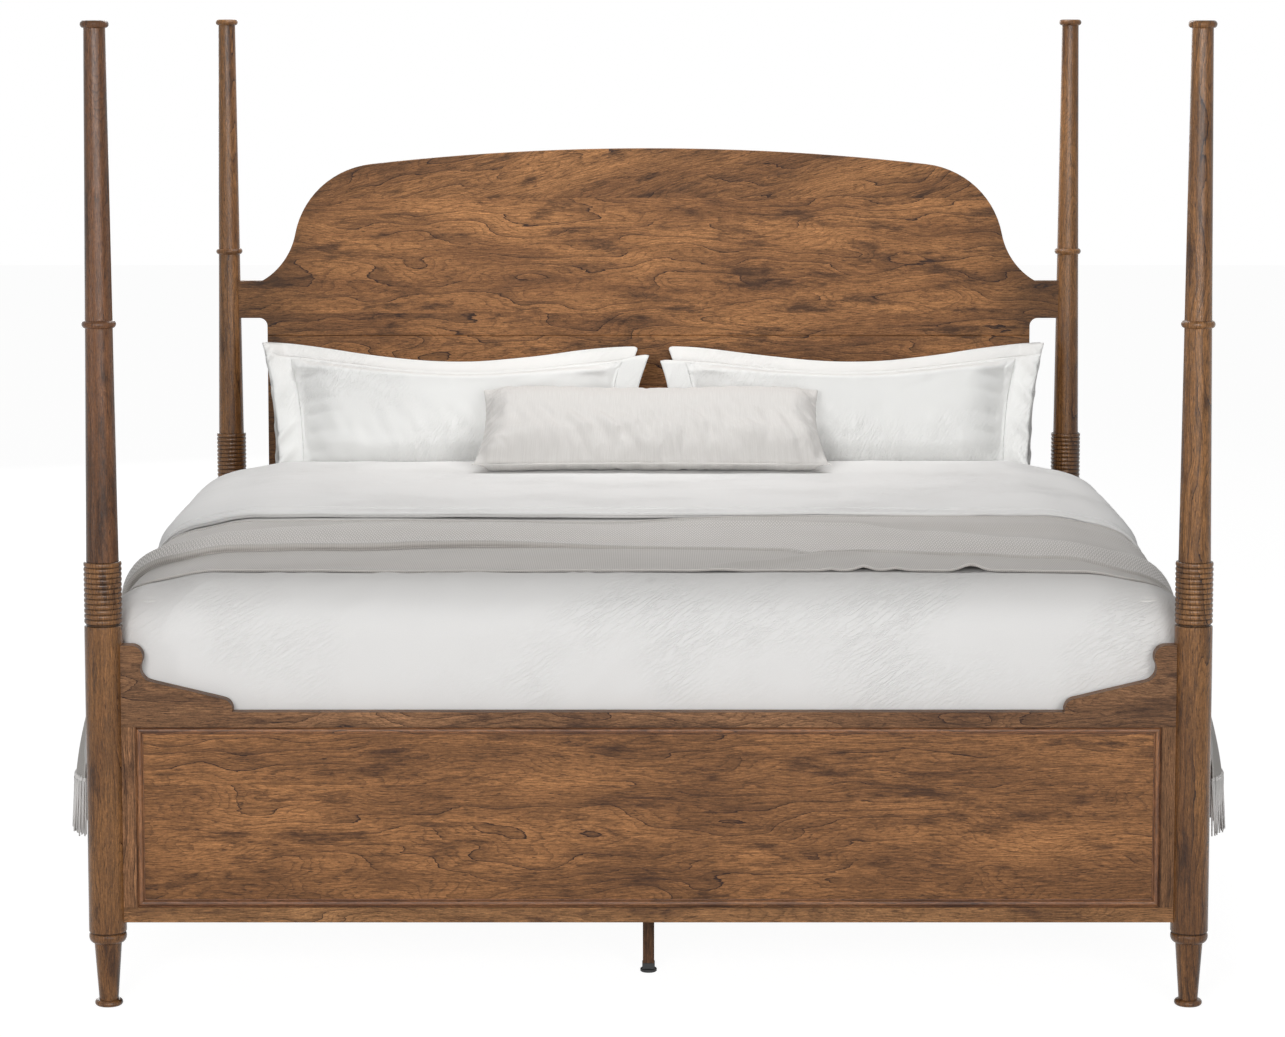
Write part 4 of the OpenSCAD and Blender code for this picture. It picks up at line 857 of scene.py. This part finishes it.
mesh, flat = cloth_grid((-half_across, -foot_path), (half_across, head_along), duvet_step, duvet_point)
throw_shade = mesh.verts.layers.float.new("throw_shade")
for vert, (across, along) in zip(mesh.verts, flat):
    vert[throw_shade] = shade_strength * (1 - ease(throw_front - along, 0.0, shade_reach))
duvet = finish_piece(mesh, "duvet_cotton", "bedding", duvet_cotton)
thicken(duvet, duvet_body_t, [ease(hem_distance(*point), 0.0, 0.07) for point in flat], least=0.3)
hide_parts("duvet")
print("duvet", [round(v, 3) for v in duvet.dimensions], "faces", len(duvet.data.polygons))

# %% [markdown]
# ## The fold
# The head of the duvet cover is folded back over the duvet. Its hem has two rows of stitches, fine cords
# that lie in shallow grooves along it, and it hangs down both sides with the duvet.

# %% Fold
stitch_rows = (0.074, 0.092)
groove_w, stitch_groove = 0.006, 0.0012
head_roll = 0.018
head_overhang = 0.03
fold_step, fold_sheet_t = 0.0125, 0.009


def fold_point(across, along):
    """Place of a point of the fold, which rolls down over the head of the duvet."""
    from_hem = along - fold_along
    to_side_hem = half_across - abs(across)
    groove = sum(math.exp(-((from_hem - row) / groove_w) ** 2) for row in stitch_rows)
    pinch = 1 - ease(min(from_hem, to_side_hem), 0.0, 0.012)
    wave = 0.0022 * ripple(across, along, 0.30, 6.6) + 0.0012 * crease(across, along, 0.30, 0.06, 12, 8.8)
    lift = fold_t + 0.5 * bed_relief(across, along) + wave - stitch_groove * groove - 0.002 * pinch
    point = on_bed(across, min(along, head_along - head_roll), lift)
    beyond = along - (head_along - head_roll)
    if beyond > 0:
        turn = min(beyond / head_roll, math.pi / 2)
        point.y += head_roll * math.sin(turn)
        point.z -= head_roll * (1 - math.cos(turn)) + max(0.0, beyond - head_roll * math.pi / 2)
    return point


mesh = cloth_grid((-half_across, fold_along), (half_across, head_along + head_overhang), fold_step,
                  fold_point)[0]
fold = finish_piece(mesh, "duvet_fold", "bedding", duvet_cotton)
thicken(fold, fold_sheet_t)
row_steps = 300
fold_hem_r, stitch_r = 0.0035, 0.0018
trims = [("fold_hem", -0.002, fold_hem_r)]
trims += [("fold_stitches_" + str(i), row, stitch_r) for i, row in enumerate(stitch_rows, start=1)]
for name, row, radius in trims:
    path = [fold_point(half_across * (2 * i / row_steps - 1), fold_along + row)
            for i in range(row_steps + 1)]
    tube(name, path, radius, duvet_cotton, "bedding")
print("fold", [round(v, 3) for v in fold.dimensions])

# %% [markdown]
# ## Throw
# A wool throw lies across the foot half. Two long soft pleats run over it from side to side: the cloth
# rises behind each line and curls a little over it, so that a dark line shows under the curl. The front
# hem is a rolled cord, and lifts off the duvet in a few places.

# %% Throw
throw_t = 0.004
throw_gap = 0.0010
throw_sheet_t = 0.003
throw_hem_z = 0.389
throw_back = throw_high.y - flat_y
throw_half = half_across + duvet_low.z - throw_hem_z
# The lower edge of the lit middle band, and its crest, as (x, y) points that the cloth's lines go through.
band_edge = ((-0.97, -0.66), (-0.86, -0.65), (-0.63, -0.60), (-0.33, -0.56), (0.0, -0.58), (0.26, -0.61),
             (0.33, -0.68), (0.46, -0.65), (0.62, -0.68), (0.77, -0.72), (0.95, -0.80))
band_crest = ((-0.95, -0.58), (-0.84, -0.54), (-0.70, -0.455), (-0.56, -0.394), (-0.42, -0.363),
              (-0.2, -0.332), (0.02, -0.31), (0.22, -0.35), (0.41, -0.37), (0.56, -0.45), (0.72, -0.54),
              (0.90, -0.62))
band_height = 0.013
layer_height = 0.014
# A short fold runs slanting across the front band.
slanted_edge = ((0.10, -0.84), (0.20, -0.80), (0.36, -0.69), (0.45, -0.66))
slanted_height, slanted_w = 0.007, 0.022
left_step = 0.075
# Where the front hem lifts off the duvet: place across the bed, width and height.
hem_lifts = ((0.134, 0.035, 0.003), (0.345, 0.012, 0.003), (0.408, 0.016, 0.008), (0.470, 0.015, 0.004),
             (0.612, 0.024, 0.013))
# How far the hanging ends stand out, and how much less they do at the front hem and at the back.
flap_out, flap_front, flap_back = 0.035, 0.024, 0.020


def line_at(points, x):
    """Height of a smooth line through a few points."""
    for (x0, y0), (x1, y1) in zip(points, points[1:]):
        if x <= x1:
            return y0 + (y1 - y0) * ease(x, x0, x1)
    return points[-1][1]


def back_edge(across):
    """The back edge lies further forward on the left than on the right."""
    return throw_back - left_step * (1 - ease(across, -0.1, 0.2))


def band_relief(across, y):
    """Lift and forward shift of the middle band, which curls over the front band and rises behind."""
    edge, crest = line_at(band_edge, across), line_at(band_crest, across)
    behind, beyond = y - edge, y - crest
    on_top = 1 - 0.75 * ease(abs(across), flat_x + 0.06, flat_x + 0.30)
    step = layer_height * (0.35 + 0.65 * (1 - ease(across, -0.35, 0.0)))
    lift = step * ease(behind, 0.0, 0.011) + band_height * ease(behind / (crest - edge), 0.0, 1.0)
    lift -= 0.3 * step * ease(beyond, -0.002, 0.009) + 0.8 * band_height * ease(beyond, 0.0, 0.12)
    slanted = y - line_at(slanted_edge, across)
    lift += (slanted_height * math.exp(-((slanted - 0.012) / slanted_w) ** 2)
             * ease(across, 0.10, 0.2) * (1 - ease(across, 0.38, 0.48)))
    curl = 1.5 * step * ease(behind, -0.001, 0.008) * (1 - ease(behind, 0.009, 0.07))
    return lift * on_top, curl * on_top


def throw_y(across, share):
    """Place along the bed of a point of the throw. share is 0 at the front hem and 1 at the back edge."""
    return flat_y + throw_front + share * (back_edge(across) - throw_front)


def throw_point(across, share):
    """Place of a point of the throw. Its hanging ends stand out from the duvet, least at the front hem."""
    y = throw_y(across, share)
    along = y - flat_y
    hem_near = math.exp(-(along - throw_front) / 0.045)
    peaks = sum(height * math.exp(-((across - x) / width) ** 2) for x, width, height in hem_lifts)
    band_lift, curl = band_relief(across, y)
    lift = throw_t + throw_gap - press(along) + band_lift * (1 - ease(share, 0.75, 0.97))
    lift += peaks * hem_near
    lift += 0.0010 * ripple(across, along, 0.12, 3.3) + bed_relief(across, along)
    point = on_bed(across, along - curl, lift)
    fall = past(abs(across) - flat_x, side_r, side_depth) - 1
    behind_hem = along - throw_front
    flap = flap_out - flap_front * math.exp(-behind_hem / 0.028) - flap_back * ease(behind_hem, 0.12, 0.35)
    point.x += math.copysign(flap * min(1.05, max(0.0, fall)), across)
    return point

# %% [markdown]
# ## The throw's cloth
# The sheet is one grid over the flat throw. An attribute marks where the cloth shows its back, so that the
# finish can draw the herringbone on the middle band, and plain ribs in front of it and behind it, darker
# there as painted shade.

# %% Throw cloth
throw_length = throw_back - throw_front
# The pleats run from side to side, so the grid is finer along the bed than across it.
step_across, step_along = 0.0120, 0.0036
mesh, flat = cloth_grid((-throw_half, 0.0), (throw_half, throw_length), step_across,
                        lambda across, y: throw_point(across, y / throw_length), step_y=step_along)
# Where the cloth shows its back it is also drawn darker, as painted shade.
back_side_and_shade = mesh.verts.layers.float.new("back_side_and_shade")
for vert, (across, length) in zip(mesh.verts, flat):
    y = throw_y(across, length / throw_length)
    in_front = 1 - ease(y - line_at(band_edge, across), 0.010, 0.018)
    vert[back_side_and_shade] = max(in_front, 0.75 * ease(y - line_at(band_crest, across), 0.0, 0.006))
throw = finish_piece(mesh, "throw_herringbone", "bedding", throw_wool)
thicken(throw, throw_sheet_t)
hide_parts("throw")
print("throw", [round(v, 3) for v in throw.dimensions])
print("flat throw", round(throw_length, 3), round(2 * throw_half, 3))

# %% [markdown]
# ## Rolled hems
# The front and back edges of the throw are rolled into thin cords of the same yarn.

# %% Rolled hems
hem_steps = 360
hem_r = 0.0018
hem_rise = Vector((0.0, 0.0, 0.0008))
for name, share in (("throw_front_hem", 0.0), ("throw_back_hem", 1.0)):
    points = [throw_point(-throw_half + 2 * throw_half * i / hem_steps, share) + hem_rise
              for i in range(hem_steps + 1)]
    tube(name, points, hem_r, hem_yarn, "bedding")

# %% [markdown]
# ## Fringe
# Each hanging end has a row of knotted tassels. A tassel is a long knot with three thin strands that
# spread a little, so it needs only a few dozen faces. One bmesh holds all the tassels of an end.

# %% Fringe
fringe_low = throw_low.z
tassel_pitch = 0.0105
knot_r = 0.0042
strand_top_r, strand_tip_r = 0.0024, 0.0014
strand_out, strand_aside, strand_uneven = 0.007, 0.006, 0.012
spread = random.Random(7)


def tassel(mesh, top, bottom_z, outwards):
    """A knot at top, and strands from it down to bottom_z that lean outwards and apart."""
    bmesh.ops.create_icosphere(mesh, subdivisions=1, radius=knot_r,
                               matrix=Matrix.Translation(top) @ Matrix.Diagonal((1, 1, 1.6, 1)))
    for strand in range(3):
        lean = Vector((outwards * spread.uniform(0.0, strand_out),
                       spread.uniform(-strand_aside, strand_aside),
                       bottom_z + spread.uniform(0.0, strand_uneven) - top.z))
        start = top + Vector((0.0030 * (strand % 2 - 0.5), 0.0030 * (strand - 1), -0.003))
        turn = lean.to_track_quat("Z", "Y").to_matrix().to_4x4()
        bmesh.ops.create_cone(mesh, cap_ends=True, segments=6, radius1=strand_top_r, radius2=strand_tip_r,
                              depth=lean.length, matrix=Matrix.Translation(start + lean / 2) @ turn)


for name, side in (("left", -1), ("right", 1)):
    mesh = bmesh.new()
    count = round(throw_length / tassel_pitch)
    for i in range(count + 1):
        top = throw_point(side * throw_half, i / count) + Vector((0.0, 0.0, -0.002))
        tassel(mesh, top, fringe_low, side)
    finish_piece(mesh, "throw_fringe_" + name, "bedding", throw_yarn)
print("tassels a side", count + 1)

# %% [markdown]
# ## Pillows
# A pillow starts as two layers of cloth that meet at the seam. Blender's cloth then blows it up a little
# with the seam held, and the cloth is a few hundredths too large for its seam, so that it puckers there as
# sewn cloth does. How far a point may move is capped, which keeps the pillow in its place.

# %% Pillow bodies
start_share = 0.90
start_pressure, pressure_step = 3.4, 0.2
extra_cloth = 0.04
cloth_frames = 20
furthest_move = 0.011
# The upper edge of a sham rises by this much towards the outer side and falls as much towards the other.
corner_rise = 0.006


def fullness(from_seam, reach):
    """How full a pillow is at a distance from its seam: 0 at the seam, and 1 at reach and beyond."""
    return math.sin(math.pi / 2 * min(1.0, max(0.0, from_seam / reach))) ** 0.8


def pillow_plane(form, u, v):
    """Place in the pillow's plane for shares u and v from -1 to 1, with the edges pulled in."""
    rounded = (1 - form["side_pull"] * (1 - v * v)) * (1 - form["low_taper"] * (1 - v) / 2)
    pull = form["top_pull"] if v > 0 else form["low_pull"]
    raised = corner_rise * u * form["outer"] * (1 + v) / 2
    ear = form["ear"] * ease(-u * form["outer"], 0.80, 1.0) * ease(v, 0.55, 1.0)
    x = u * form["width"] / 2 * rounded - form["outer"] * 0.5 * ear
    return x, v * form["height"] / 2 * (1 - pull * (1 - u * u) ** 2) + raised + ear


def seam_shares(form):
    """Shares of the seam: left and right, low and high."""
    side = 1 - 2 * form["side_flange"] / form["width"]
    low = 1 - 2 * form["low_flange"] / form["height"]
    high = 1 - 2 * form["top_flange"] / form["height"]
    return side, low, high


def pillow_start(name, form, step=0.0075):
    """Two layers that meet at the seam and stand in the XZ plane, near their full thickness."""
    side, low, high = seam_shares(form)
    half_w = side * form["width"] / 2
    low_z, high_z = -low * form["height"] / 2, high * form["height"] / 2

    def layer(face):
        def place(x, z):
            px, pz = pillow_plane(form, x / (form["width"] / 2), z / (form["height"] / 2))
            full = fullness(half_w - abs(x), form["side_reach"]) * fullness(z - low_z, form["low_reach"])
            full *= fullness(high_z - z, form["high_reach"])
            thick = start_share * form["thickness"] / 2 * full
            return Vector((px, face * thick, pz))
        return cloth_grid((-half_w, low_z), (half_w, high_z), step, place)[0]

    mesh = layer(-1)
    back = layer(1)
    bmesh.ops.reverse_faces(back, faces=back.faces)
    carrier = bpy.data.meshes.new("layer")
    back.to_mesh(carrier)
    back.free()
    mesh.from_mesh(carrier)
    bpy.data.meshes.remove(carrier)
    bmesh.ops.remove_doubles(mesh, verts=mesh.verts, dist=0.0004)
    bmesh.ops.recalc_face_normals(mesh, faces=mesh.faces)
    data = bpy.data.meshes.new(name)
    mesh.to_mesh(data)
    mesh.free()
    piece = bpy.data.objects.new(name, data)
    scene.collection.objects.link(piece)
    seam = piece.vertex_groups.new(name="seam")
    seam.add([v.index for v in data.vertices if abs(v.co.y) < 0.0008], 1.0, "REPLACE")
    return piece

# %% [markdown]
# ## Blowing the pillows up
# The seam is pinned and gravity is off, so only the filling's pressure and the extra cloth move it.


# %% Cloth under pressure
def start_cloth(piece, pressure, extra):
    """Cloth that is blown up by pressure and is larger than its seam by the share extra."""
    modifier = piece.modifiers.new("cloth", "CLOTH")
    fabric = modifier.settings
    fabric.quality = 6
    fabric.mass = 0.25
    fabric.tension_stiffness = 12
    fabric.compression_stiffness = 12
    fabric.shear_stiffness = 4
    fabric.bending_stiffness = 0.08
    fabric.use_pressure = True
    fabric.uniform_pressure_force = pressure
    fabric.shrink_min = -extra
    fabric.vertex_group_mass = "seam"
    fabric.effector_weights.gravity = 0.0
    modifier.point_cache.frame_start = 1
    modifier.point_cache.frame_end = cloth_frames


def settle(pieces, cap):
    """Runs the cloth, then writes the result into each mesh. No point moves more than cap."""
    for number in range(1, cloth_frames + 1):
        scene.frame_set(number)
    depsgraph = bpy.context.evaluated_depsgraph_get()
    for piece in pieces:
        points = [v.co.copy() for v in piece.evaluated_get(depsgraph).data.vertices]
        piece.modifiers.clear()
        furthest = 0.0
        for vert, point in zip(piece.data.vertices, points):
            move = point - vert.co
            furthest = max(furthest, move.length)
            vert.co += move * min(1.0, cap / max(move.length, 1e-9))
        print(piece.name, "moved up to", round(furthest * 1000, 1), "mm")
    scene.frame_set(1)

# %% [markdown]
# ## The pillows' sizes
# Sizes and reaches are in metres, and a reach is how far from the seam the pillow is full. The pulls and
# tapers are shares by which an edge is drawn in. outer is the side that lies towards the edge of the bed,
# with -1 for left, 1 for right and 0 for neither, and ear is how far the upper corner at the other side,
# towards the middle of the bed, stands up.

# %% Pillow sizes
front_sham = {
    "width": 0.905, "height": 0.312, "thickness": 0.122, "outer": -1, "ear": 0.014, "seed": 3.0,
    "side_flange": 0.056, "top_flange": 0.008, "low_flange": 0.010,
    "side_pull": 0.026, "top_pull": 0.24, "low_pull": 0.0, "low_taper": 0.105,
    "side_reach": 0.115, "low_reach": 0.070, "high_reach": 0.030,
    "pucker": 0.017, "pucker_pitch": 0.048, "rim_pucker": 0.004, "slack": 0.004,
}
back_sham = {
    **front_sham, "height": 0.334, "thickness": 0.100, "ear": 0.0, "seed": 8.0,
    "top_flange": 0.045, "top_pull": 0.27, "low_taper": 0.11,
}
lumbar_form = {
    "width": 0.786, "height": 0.312, "thickness": 0.122, "outer": 0, "ear": 0.0, "seed": 5.0,
    "side_flange": 0.0, "top_flange": 0.0, "low_flange": 0.0,
    "side_pull": 0.040, "top_pull": 0.13, "low_pull": 0.03, "low_taper": -0.033,
    "side_reach": 0.065, "low_reach": 0.052, "high_reach": 0.130,
    "pucker": 0.012, "pucker_pitch": 0.027, "rim_pucker": 0.004, "slack": 0.013,
}
pillow_forms = {
    "pillow_front_left": front_sham,
    "pillow_front_right": {**front_sham, "outer": 1, "ear": 0.0, "seed": 13.0},
    "pillow_back_left": back_sham,
    "pillow_back_right": {**back_sham, "outer": 1, "seed": 18.0},
    "lumbar_pillow": lumbar_form,
}
# Each pillow starts from its form, and then all of them are blown up together.
starts = {name: pillow_start(name + "_start", form) for name, form in pillow_forms.items()}
for number, piece in enumerate(starts.values()):
    start_cloth(piece, start_pressure + pressure_step * number, extra_cloth)
settle(list(starts.values()), furthest_move)

# %% [markdown]
# ## Pillows in place
# Folds run in from the sewn ends and the face is a little dented, so each blown-up body is shaped once more
# by formulas, and then leaned back into its place.

# %% Pillows in place
side_fold_reach, rim_fold_reach = 0.032, 0.025
inner_end_folds = 0.25
dent_depth = 0.006


def leaning(x, y, z, height, lean):
    """Stands a pillow with its lower edge at y and z, at an angle of lean degrees from the level."""
    lean = math.radians(lean)
    middle = (x, y + height / 2 * math.cos(lean), z + height / 2 * math.sin(lean))
    return Matrix.Translation(middle) @ Matrix.Rotation(lean - math.pi / 2, 4, "X")


def add_body(piece, name, node, body, finish, matrix, form, rest_z):
    """Adds puckers and dents, and sets the pillow in place, flattened where it rests at rest_z."""
    mesh = bmesh.new()
    mesh.from_mesh(piece.data)
    bpy.data.objects.remove(piece)
    side, low, high = seam_shares(form)
    half_w, seed = side * form["width"] / 2, form["seed"]
    for vert in mesh.verts:
        x, z = vert.co.x, vert.co.z
        edge_x, low_z = pillow_plane(form, side, 2 * z / form["height"])[0], -low * form["height"] / 2
        high_z = pillow_plane(form, x / half_w, high)[1]
        face = math.copysign(1.0, vert.co.y)
        full = ease(abs(vert.co.y), 0.003, 0.018)
        from_side, from_rim = edge_x - abs(x), min(z - low_z, high_z - z)
        side_folds = pleats(z, form["pucker_pitch"], seed + (x > 0)) - 0.3
        side_folds *= math.exp(-from_side / side_fold_reach)
        side_folds *= inner_end_folds if x * form["outer"] < 0 else 1.0
        rim_folds = pleats(x, 2 * form["pucker_pitch"], seed) - 0.3
        rim_folds *= math.exp(-from_rim / rim_fold_reach)
        inwards = form["pucker"] * side_folds
        if face < 0:
            dents = 0.3 + ripple(x, z, 0.17, seed)
            wrinkles = ease(-z, -0.05, 0.04) * (0.4 + slanted_wave(x, z, 0.075, 0.026, 118, seed))
            inwards += dent_depth * dents + form["slack"] * wrinkles + form["rim_pucker"] * rim_folds
        vert.co.y -= face * full * inwards
    bmesh.ops.transform(mesh, matrix=matrix, verts=mesh.verts)
    for vert in mesh.verts:
        vert.co.z = max(vert.co.z, rest_z)
    made = finish_piece(mesh, name, body, finish)
    finer = made.modifiers.new("finer", "SUBSURF")
    finer.levels = finer.render_levels = 1
    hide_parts(node)
    return made

# %% [markdown]
# ## Flanges
# A sham has a flat double edge of cloth round it, called a flange. It is a sheet of its own with the middle
# cut out, bent forwards at its outer end and backwards at its top.

# %% Flanges
flange_corner_r = 0.012
flange_forward, flange_back = 0.034, 0.012
flange_crease, flange_pitch = 0.013, 0.052
inner_end_flange = 0.15
flange_overlap = 0.012
flange_step, flange_t = 0.0055, 0.0025


def add_flange(name, body, matrix, form):
    """The flat double edge round a sham, bent back at its top, with soft waves and slanting creases."""
    side, low, high = seam_shares(form)
    width, height = form["width"], form["height"]

    def place(x, z):
        u, v = x / (width / 2), z / (height / 2)
        px, pz = pillow_plane(form, u, v)
        out = max(ease(abs(u), side, 1.0), ease(v, high, 1.0), ease(-v, low, 1.0))
        beside = 0.5 * (fullness(abs(u) - side, 1.0 - side) + ease(abs(u), side, 1.0))
        beside *= 1 - ease(v, 0.9, 1.0)
        # The creases slant down and outwards.
        creased = flange_crease * (pleats(z * 0.64 + abs(x) * 0.77, flange_pitch, form["seed"]) - 0.4)
        share = 1.0 if x * form["outer"] > 0 else inner_end_flange
        forwards = beside * (flange_forward + creased) * share
        forwards += 0.003 * out * ripple(x, z, 0.12, form["seed"])
        # Near a corner the point moves inwards, which rounds the corner.
        corner_x = abs(px) - (abs(pillow_plane(form, 1.0, v)[0]) - flange_corner_r)
        corner_z = abs(v) * height / 2 - (height / 2 - flange_corner_r)
        if corner_x > 0 and corner_z > 0:
            shrink = max(corner_x, corner_z) / math.hypot(corner_x, corner_z)
            px -= math.copysign(corner_x * (1 - shrink), px)
            pz -= math.copysign(corner_z * (1 - shrink), pz)
        return Vector((px, flange_back * ease(v, high, 1.0) - forwards, pz))

    mesh, flat = cloth_grid((-width / 2, -height / 2), (width / 2, height / 2), flange_step, place)
    inner_x = side * width / 2 - flange_overlap
    low_z, high_z = flange_overlap - low * height / 2, high * height / 2 - flange_overlap

    def covered(vert):
        x, z = flat[vert.index]
        return abs(x) < inner_x and low_z < z < high_z

    inside = [face for face in mesh.faces if all(covered(vert) for vert in face.verts)]
    bmesh.ops.delete(mesh, geom=inside, context="FACES")
    bmesh.ops.transform(mesh, matrix=matrix, verts=mesh.verts)
    made = finish_piece(mesh, name, body, sham_cotton)
    thicken(made, flange_t)
    return made

# %% [markdown]
# ## The four shams
# A pair stands in front and a pair behind it, all leaning back. The front ones lift off by themselves, so
# each rides on its own body, and the back ones stay with the bedding.

# %% Shams
pillow_lean = 62
pillow_y, pillow_z = 0.770, mattress_high.z + 0.002
back_step = 0.108 / math.sin(math.radians(pillow_lean))
pairs_x = 0.011
front_x, back_x = 0.4665, 0.4665 + 0.021
places = {
    "pillow_front_left": (pairs_x - front_x, 0.0, "pillow_front_left"),
    "pillow_front_right": (pairs_x + front_x, 0.0, "pillow_front_right"),
    "pillow_back_left": (pairs_x - back_x, back_step, "bedding"),
    "pillow_back_right": (pairs_x + back_x, back_step, "bedding"),
}
for name, (x, step, body) in places.items():
    form = pillow_forms[name]
    matrix = leaning(x, pillow_y + step, pillow_z, form["height"], pillow_lean)
    add_body(starts[name], name + "_sham", name, body, sham_cotton, matrix, form,
             mattress_high.z + 0.001)
    add_flange(name + "_flange", body, matrix, form)

# %% [markdown]
# ## The lumbar pillow in place
# It lies on the fold in front of the shams and leans far back. The seam along its lower edge is piped.

# %% Lumbar pillow in place
lumbar_lean = 27.5
lumbar_place = (0.0055, 0.503, cover_z + fold_t + 0.020)
lumbar_matrix = leaning(*lumbar_place, lumbar_form["height"], lumbar_lean)
lumbar = add_body(starts["lumbar_pillow"], "lumbar_linen", "lumbar_pillow", "lumbar_pillow", lumbar_linen,
                  lumbar_matrix, lumbar_form, cover_z + fold_t + 0.002)
seam_steps = 160
seam_r = 0.0019
seam_path = []
for i in range(seam_steps + 1):
    x, z = pillow_plane(lumbar_form, 2 * i / seam_steps - 1, -1.0)
    seam_path.append(lumbar_matrix @ Vector((x, -0.001, z)))
tube("lumbar_low_seam", seam_path, seam_r, lumbar_linen, "lumbar_pillow")
print("lumbar pillow", [round(v, 3) for v in lumbar.dimensions])
